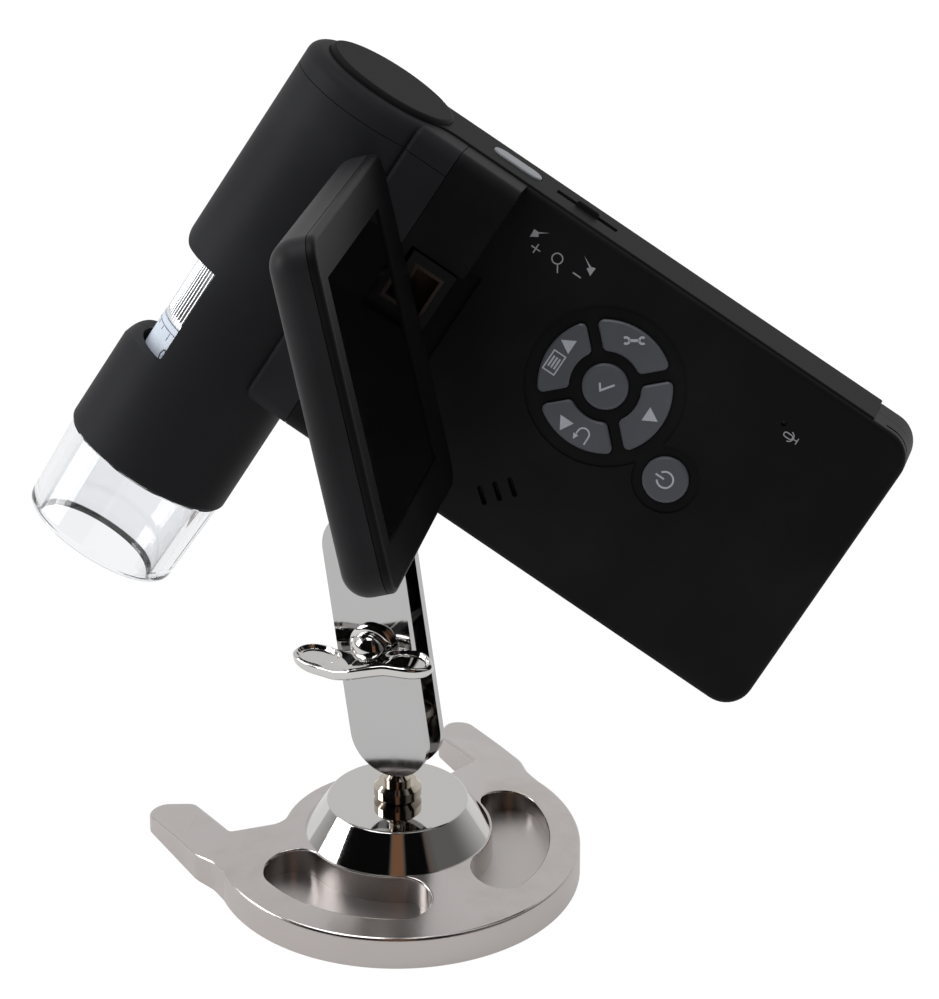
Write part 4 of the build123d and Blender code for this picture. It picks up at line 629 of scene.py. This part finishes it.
dome = np.radians(np.linspace(0, 86, 12))
hub_profile = [(BOLT_R, BOLT_END), (BOLT_R, PLATE_FACE + SEAT), (FLANGE_R, PLATE_FACE + SEAT),
               (FLANGE_R, PLATE_FACE + 0.8), (FLANGE_R - 0.5, PLATE_FACE + 1.3), (4.3, PLATE_FACE + 1.4)]
hub_profile += [(DOME_R * cos(t), PLATE_FACE + DOME_AT + DOME_RISE * sin(t)) for t in dome]
wings = wing_loops()
wings[..., 2] += PLATE_FACE + SEAT
hub = turned_rings(hub_profile)
wing_faces = capped(wings)
wing_faces += [[v + wings.shape[0] * wings.shape[1] for v in face] for face in capped(hub)]
wing_metal = plated("wing_nickel", NICKEL, 0.07, (1.0, 1.0, 1.0), 0.3)
wing_points = np.concatenate([wings.reshape(-1, 3), hub.reshape(-1, 3)])
wing = new_piece("wing_casting", place(clamp, wing_points), wing_faces, wing_metal, sharp=40)
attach(wing, "wing")
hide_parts("wing_screw")
print("wing screw faces:", len(wing.data.polygons))

# %% [markdown]
# Printed marks
#
# The pictograms are thin light prints. Each is drawn with two kinds of element in the panel's
# flat frame: a ribbon, which is a line of one width carried along a path, and a tile, which is a
# filled outline. Both are a few hundredths of a millimetre thick, so that they are closed pieces.

# %% Ribbons and tiles
PRINT_THICK = 0.03


def ribbon(path, width, closed=False):
    """A flat band along a path: each point steps half the width to both sides, along the normal."""
    path = np.asarray(path, float)
    ahead = np.roll(path, -1, axis=0) - path
    if not closed:
        ahead[-1] = ahead[-2]
    back = np.roll(ahead, 1, axis=0)
    if not closed:
        back[0] = ahead[0]
    ahead = ahead / np.linalg.norm(ahead, axis=1, keepdims=True)
    back = back / np.linalg.norm(back, axis=1, keepdims=True)
    tangent = ahead + back
    tangent /= np.linalg.norm(tangent, axis=1, keepdims=True)
    normal = np.column_stack([-tangent[:, 1], tangent[:, 0]])
    stretch = width / 2 / np.clip(np.sum(tangent * ahead, axis=1), 0.5, 1)[:, None]
    left, right = path + normal * stretch, path - normal * stretch
    low, high = np.zeros((len(path), 1)), np.full((len(path), 1), PRINT_THICK)
    corners = ((left, low), (right, low), (right, high), (left, high))
    points = np.stack([np.hstack(pair) for pair in corners], axis=1)
    faces = grid_faces(len(path), 4, closed, True).tolist()
    if not closed:
        faces += [[0, 1, 2, 3], [len(path) * 4 - k for k in (4, 3, 2, 1)]]
    return points.reshape(-1, 3), faces


def tile(outline):
    """A filled outline: the same corners below and above, joined by side faces."""
    outline = np.asarray(outline, float)
    count = len(outline)
    low = np.hstack([outline, np.zeros((count, 1))])
    high = np.hstack([outline, np.full((count, 1), PRINT_THICK)])
    sides = grid_faces(2, count, False, True).tolist()
    return np.vstack([low, high]), sides + [list(range(count)), list(range(count, 2 * count))]


def arc(x, y, radius, start, end, steps=24):
    """Points of a circle's arc from one angle in degrees to another."""
    angle = np.radians(np.linspace(start, end, steps))
    return np.column_stack([x + radius * np.cos(angle), y + radius * np.sin(angle)])


def print_mark(name, elements, height, body, material, bend=None):
    """Joins elements into one piece at a height on the panel, or bent by a function of its points."""
    points, faces, start = [], [], 0
    for element_points, element_faces in elements:
        points.append(element_points)
        faces += [[v + start for v in face] for face in element_faces]
        start += len(element_points)
    points = np.vstack(points)
    points = bend(points) if bend else points + np.array([0, 0, height])
    piece = new_piece(name, place(handset, points), faces, material, smooth=False)
    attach(piece, body)
    return piece


print("print helpers ready")

# %% [markdown]
# The ink
#
# The prints are screen-printed in a light grey that wears a little, so the ink's colour is uneven.

# %% Ink finishes
def ink(name, colour, worn):
    """Printed ink with small worn spots."""
    finish = Finish(name)
    spots = finish.noise(3500.0, 3.0)
    finish.set(Base_Color=finish.mix(spots.rise(0.45, 0.8), colour, worn), Roughness=0.5)
    return finish.material


light_ink = ink("light_ink", (0.40, 0.42, 0.46), (0.30, 0.315, 0.35))
dim_ink = ink("dim_ink", (0.30, 0.305, 0.32), (0.22, 0.225, 0.24))
dark_ink = ink("dark_ink", (0.02, 0.025, 0.03), (0.05, 0.055, 0.06))
PRINT_GAP = 0.005   # so that a print doesn't share a plane with what carries it
PANEL_TOP = 21.0 + PRINT_GAP
KEY_TOP = 21.6 + PRINT_GAP
print("inks ready")

# %% [markdown]
# Pictograms on the keys
#
# A framed menu and a triangle, a spanner, a triangle, a triangle with a return arrow, a tick in
# the middle and the power sign. Each rides on its own key, so it goes down when the key is pressed.

# %% Key pictograms
menu_arrow = [(59.8, -23.1), (62.7, -21.4), (62.7, -24.8)]
menu_frame = [(59.85, -25.7), (62.65, -25.7), (62.65, -30.3), (59.85, -30.3)]
menu_bars = [ribbon([(x, -26.7), (x, -29.3)], 0.4) for x in (60.55, 61.25, 61.95)]
print_mark("mark_menu", [tile(menu_arrow), ribbon(menu_frame, 0.3, True), *menu_bars],
           KEY_TOP, "menu_button", light_ink)

JAW_R = 0.68
JAW_OPEN = 50.0     # half the angle of a jaw's mouth, in degrees
JAWS_APART = 3.45
jaw_a, jaw_b = np.array([71.25, -15.35]), np.array([74.1, -13.4])
spanner_turn = float(np.degrees(np.arctan2(*(jaw_b - jaw_a)[::-1])))
shank_end = 0.55 * (jaw_b - jaw_a) / JAWS_APART
print_mark("mark_spanner",
           [ribbon([jaw_a + shank_end, jaw_b - shank_end], 0.62),
            ribbon(arc(*jaw_a, JAW_R, spanner_turn - 180 + JAW_OPEN, spanner_turn + 180 - JAW_OPEN), 0.5),
            ribbon(arc(*jaw_b, JAW_R, spanner_turn + JAW_OPEN, spanner_turn + 360 - JAW_OPEN), 0.5)],
           KEY_TOP, "settings_button", light_ink)

play_arrow = [(83.3, -24.35), (86.3, -26.05), (83.3, -27.75)]
print_mark("mark_play", [tile(play_arrow)], KEY_TOP, "play_button", light_ink)

return_arrow = [(68.5, -36.6), (71.85, -36.6), (70.2, -39.5)]
return_path = np.vstack([[(76.1, -39.2)], arc(74.75, -37.35, 1.3, 0, 180, 14), [(73.45, -38.1)]])
return_head = [(72.85, -38.2), (74.1, -38.2), (73.5, -39.45)]
print_mark("mark_return", [tile(return_arrow), ribbon(return_path, 0.36), tile(return_head)],
           KEY_TOP, "return_button", light_ink)

tick = [(71.6, -26.1), (72.6, -27.4), (74.5, -24.7)]
print_mark("mark_tick", [ribbon(tick, 0.45)], KEY_TOP, "ok_button", light_ink)

POWER_X, POWER_Y = 94.45, -35.6
print_mark("mark_power",
           [ribbon(arc(POWER_X, POWER_Y, 1.75, -148, 148, 40), 0.4),
            ribbon([(POWER_X - 0.25, POWER_Y), (POWER_X - 2.35, POWER_Y)], 0.4)],
           KEY_TOP, "power_button", light_ink)
print("key marks made")

# %% [markdown]
# Pictograms on the panel
#
# Beside the zoom dial stand a magnifying glass, a plus and a minus with two swept arrow heads, and
# beside its sound hole a small microphone. They are printed a little dimmer than the keys' marks.

# %% Panel pictograms
zoom_glass = arc(49.66, -9.2, 1.15, 0, 345, 32)
zoom_grip = [(50.35, -10.2), (51.35, -11.75)]
plus_across = [(43.6, -10.0), (45.85, -10.0)]
plus_upper = [(44.72, -8.9), (44.72, -9.86)]
plus_lower = [(44.72, -10.14), (44.72, -11.1)]
minus = [(54.0, -9.8), (56.0, -9.8)]
arrow_towards_cap = [(45.35, -5.6), (43.3, -6.75), (42.2, -6.7), (42.3, -8.6), (43.85, -7.6), (43.5, -7.0)]
arrow_away = [(54.03, -5.45), (56.5, -6.6), (57.5, -6.3), (57.4, -8.35), (55.9, -7.4), (56.3, -6.95)]
zoom_marks = [ribbon(zoom_glass, 0.26, True), ribbon(zoom_grip, 0.28), ribbon(plus_across, 0.28),
              ribbon(plus_upper, 0.28), ribbon(plus_lower, 0.28), ribbon(minus, 0.3),
              tile(arrow_towards_cap), tile(arrow_away)]
print_mark("mark_zoom", zoom_marks, PANEL_TOP, "handset", dim_ink)

MIC_X, MIC_Y = 110.6, -12.9
mic_capsule = np.vstack([arc(MIC_X + 0.55, MIC_Y, 0.5, 90, -90, 8),
                         arc(MIC_X - 0.55, MIC_Y, 0.5, 270, 90, 8)])
mic_cradle = arc(MIC_X + 0.1, MIC_Y, 1.15, 80, -80, 16)
mic_stem = [(MIC_X + 1.37, MIC_Y), (MIC_X + 2.1, MIC_Y)]
mic_base = [(MIC_X + 2.2, MIC_Y - 0.7), (MIC_X + 2.2, MIC_Y + 0.7)]
print_mark("mark_microphone",
           [ribbon(mic_capsule, 0.24, True), ribbon(mic_cradle, 0.22), ribbon(mic_stem, 0.22),
            ribbon(mic_base, 0.22)],
           PANEL_TOP, "handset", dim_ink)
print("panel marks made")

# %% [markdown]
# The focus scale
#
# Below the ribs the ring carries a bluish white band with a fine line, ticks and a few numbers.
# They are drawn flat, as distance round the band against depth, and wrapped onto the cylinder:
# the distance over the radius is the angle.

# %% Scale on the band
BAND_R = RING_R + 0.1
SCALE_LINE = 1.5     # depth of the fine line below the band's top
SCALE_HALF = 44.0    # length of the line to each side
TICK_STEP = 3.6      # distance between ticks round the band
TICKS_EACH_SIDE = 12
DIGIT_DEPTH = 7.6
DIGIT_HEIGHT = 2.6
ZERO_AT = -9.4
band_white = moulded("band_white", (0.55, 0.61, 0.70), 0.35, 9000.0, 0.000002)
nodes["scale_band"].data.materials.clear()
nodes["scale_band"].data.materials.append(band_white)


def wrap_on_band(points):
    """(distance, depth, height) to the barrel frame: angle = distance / radius, radius + height."""
    angle = points[:, 0] / BAND_R
    radius = BAND_R + 0.01 + points[:, 2]
    return np.column_stack([radius * np.sin(angle), -points[:, 1], radius * np.cos(angle) + BARREL_AXIS_Z])


DIGITS = {   # strokes in a box one wide and two high
    "0": [[(0.5, 0), (0.15, 0.3), (0, 0.8), (0, 1.2), (0.15, 1.7), (0.5, 2), (0.85, 1.7), (1, 1.2), (1, 0.8),
           (0.85, 0.3), (0.5, 0)]],
    "1": [[(0.2, 1.6), (0.55, 2), (0.55, 0)]],
    "2": [[(0, 1.5), (0.2, 1.9), (0.6, 2), (0.95, 1.6), (0.9, 1.2), (0, 0), (1, 0)]],
    "3": [[(0, 1.8), (0.5, 2), (0.95, 1.6), (0.6, 1.1), (1, 0.6), (0.6, 0), (0, 0.2)]],
}


def digit(text, x, depth, size):
    """Ribbons of one digit, size millimetres high, whose top points towards the cap."""
    lines = [np.array(line) * size / 2 for line in DIGITS[text]]
    return [ribbon(np.column_stack([x - size / 4 + line[:, 0], depth - line[:, 1]]), 0.3) for line in lines]


line_at = RING_BAND_TOP + SCALE_LINE
scale = [ribbon([(x, line_at) for x in np.linspace(-SCALE_HALF, SCALE_HALF + 0.2, 120)], 0.16)]
for k in range(-TICKS_EACH_SIDE, TICKS_EACH_SIDE + 1):
    length = 1.8 if k % 3 == 0 else 1.0
    tick_at = k * TICK_STEP
    scale.append(ribbon([(tick_at, line_at + 0.2), (tick_at, line_at + 0.2 + length)], 0.18))
for step, text in enumerate(DIGITS):
    scale += digit(text, ZERO_AT + 3 * TICK_STEP * step, RING_BAND_TOP + DIGIT_DEPTH, DIGIT_HEIGHT)
print_mark("mark_scale", scale, 0, "focus", dark_ink, bend=wrap_on_band)
print("scale marks made")

# %% [markdown]
# Floor and room
#
# The floor is a wide pale plane. To the camera, to mirrors and to glass it is nearly white by its
# own light, and it keeps a part of its shading, so the object's soft shadow stays on it.

# %% Floor
FLOOR_HALF = 12.0
CAMERA_SHARE = 0.94   # how much of each ray's floor is its own light
GLASS_SHARE = 0.75
MIRROR_SHARE = 0.55
FLOOR_GLOW = 1.04
floor_corners = [(x * FLOOR_HALF, y * FLOOR_HALF, 0.0) for x, y in ((-1, -1), (1, -1), (1, 1), (-1, 1))]
floor_mesh = bpy.data.meshes.new("floor")
floor_mesh.from_pydata(floor_corners, [], [(0, 1, 2, 3)])
floor = bpy.data.objects.new("floor", floor_mesh)
bpy.context.scene.collection.objects.link(floor)


def floor_finish():
    """Diffuse white, mixed with white light for the camera, for mirrors and for glass."""
    finish = Finish("pale_floor")
    finish.set(Base_Color=(0.82, 0.82, 0.82), Roughness=0.9)
    rays = finish.node("ShaderNodeLightPath")
    outputs = rays.socket.node.outputs
    camera_ray = Wire(finish, outputs["Is Camera Ray"])
    mirror_ray = Wire(finish, outputs["Is Glossy Ray"])
    glass_ray = Wire(finish, outputs["Is Transmission Ray"])
    share = camera_ray * CAMERA_SHARE + glass_ray * GLASS_SHARE + mirror_ray * MIRROR_SHARE
    glow = finish.node("ShaderNodeEmission", {}, {"Color": (1.0, 1.0, 1.0), "Strength": FLOOR_GLOW})
    shaded = Wire(finish, finish.shader.outputs[0])
    sockets = {0: share.math("MINIMUM", CAMERA_SHARE), 1: shaded, 2: glow}
    mixed = finish.node("ShaderNodeMixShader", {}, sockets)
    finish.feed(finish.tree.nodes["Material Output"].inputs[0], mixed)
    return finish.material


floor_mesh.materials.append(floor_finish())
print("floor made")

# %% [markdown]
# World and lamps
#
# A soft white world gives even light. To mirrors it is a studio: grey walls that are paler behind
# the object, and a dark side towards the camera, crossed by the amber stripes of a lit doorway.
# Chrome needs such a dark side, because it shows only what it mirrors. Two large soft lamps add the
# sheen from above and from the left.

# %% World
world = bpy.data.worlds.new("studio")
bpy.context.scene.world = world
world.use_nodes = True


class Room(Finish):
    """The world's node tree, with the same methods as a finish."""

    def __init__(self, tree):
        self.tree = tree
        self.shader = tree.nodes["Background"]

    def share_of(self, direction):
        """The cosine of the angle between the view and a direction of length 1."""
        sockets = {0: self.node("ShaderNodeTexCoord", out=0), 1: tuple(direction)}
        return self.node("ShaderNodeVectorMath", {"operation": "DOT_PRODUCT"}, sockets, out=1)

    def towards(self, direction, inner, outer):
        """1 within the inner angle of a direction, 0 beyond the outer one, in degrees."""
        share = self.share_of(Vector(direction).normalized())
        return share.rise(cos(radians(outer)), cos(radians(inner)))

    def across(self, direction, low, high, soft):
        """1 where the share of a direction lies between low and high, with soft sides."""
        share = self.share_of(direction)
        return share.rise(low - soft, low + soft) * (1 - share.rise(high - soft, high + soft))


room = Room(world.node_tree)
paths = room.node("ShaderNodeLightPath").socket.node.outputs
glossy_ray = Wire(room, paths["Is Glossy Ray"])
seen_ray = Wire(room, paths["Is Camera Ray"]) + Wire(room, paths["Is Transmission Ray"])
TO_CAMERA = Vector((-sin(CAMERA_TURN), -cos(CAMERA_TURN), 0.0))
TO_LEFT = Vector((-cos(CAMERA_TURN), sin(CAMERA_TURN), 0.0))


def room_side(left, above):
    """The direction that many degrees to the left of the camera's side and above the floor."""
    left, above = radians(left), radians(above)
    return (TO_CAMERA * cos(left) + TO_LEFT * sin(left)) * cos(above) + Vector((0.0, 0.0, sin(above)))


WALL_LEVEL = 0.15       # what mirrors see of the walls,
BEHIND_LEVEL = 0.65     # of the paler part behind the object, on top of that,
DARK_SHARE = 0.98       # of the dark side, as the share of light that it takes away,
AMBER_LEVEL = 0.22      # and of the doorway
DIFFUSE_LEVEL = 0.55
WHITE = (1.0, 1.0, 1.0)
AMBER = (1.0, 0.5, 0.27)
dark_side = room.towards(room_side(18.0, 28.0), 48.0, 62.0)
near_stripe = room.across(TO_LEFT, -0.13, 0.13, 0.05)
far_stripe = room.across(TO_LEFT, -0.66, -0.56, 0.04)
behind = room.towards(room_side(180.0, 38.0), 45.0, 85.0)
studio = (WALL_LEVEL + BEHIND_LEVEL * behind) * (1 - DARK_SHARE * dark_side)
seen = seen_ray.math("MINIMUM", 1.0)
amber = glossy_ray * dark_side * (near_stripe + 0.6 * far_stripe)
level = seen + (1 - seen) * (glossy_ray * studio + (1 - glossy_ray) * DIFFUSE_LEVEL) + amber * AMBER_LEVEL
room.feed(room.shader.inputs["Color"], room.mix(amber, WHITE, AMBER))
room.feed(room.shader.inputs["Strength"], level)
print("world made")

# %% Lamps
def soft_lamp(name, at, size, power, aim=(0.0, 0.0, 0.1)):
    """A square area lamp that looks at a point."""
    lamp = bpy.data.objects.new(name, bpy.data.lights.new(name, "AREA"))
    bpy.context.scene.collection.objects.link(lamp)
    lamp.data.size = size
    lamp.data.energy = power
    lamp.location = at
    lamp.rotation_euler = (Vector(aim) - Vector(at)).to_track_quat("-Z", "Y").to_euler()
    return lamp


LEFT_LAMP_AWAY = 1.3
soft_lamp("lamp_above", (-0.25, 0.15, 1.5), 0.9, 8.0)
soft_lamp("lamp_left", tuple(LEFT_LAMP_AWAY * room_side(92.0, 22.0)), 0.6, 7.0)
bpy.context.scene.view_settings.view_transform = "Standard"
print("lamps made")

# %% [markdown]
# Finish

# %% Finish
print("scene dressed")
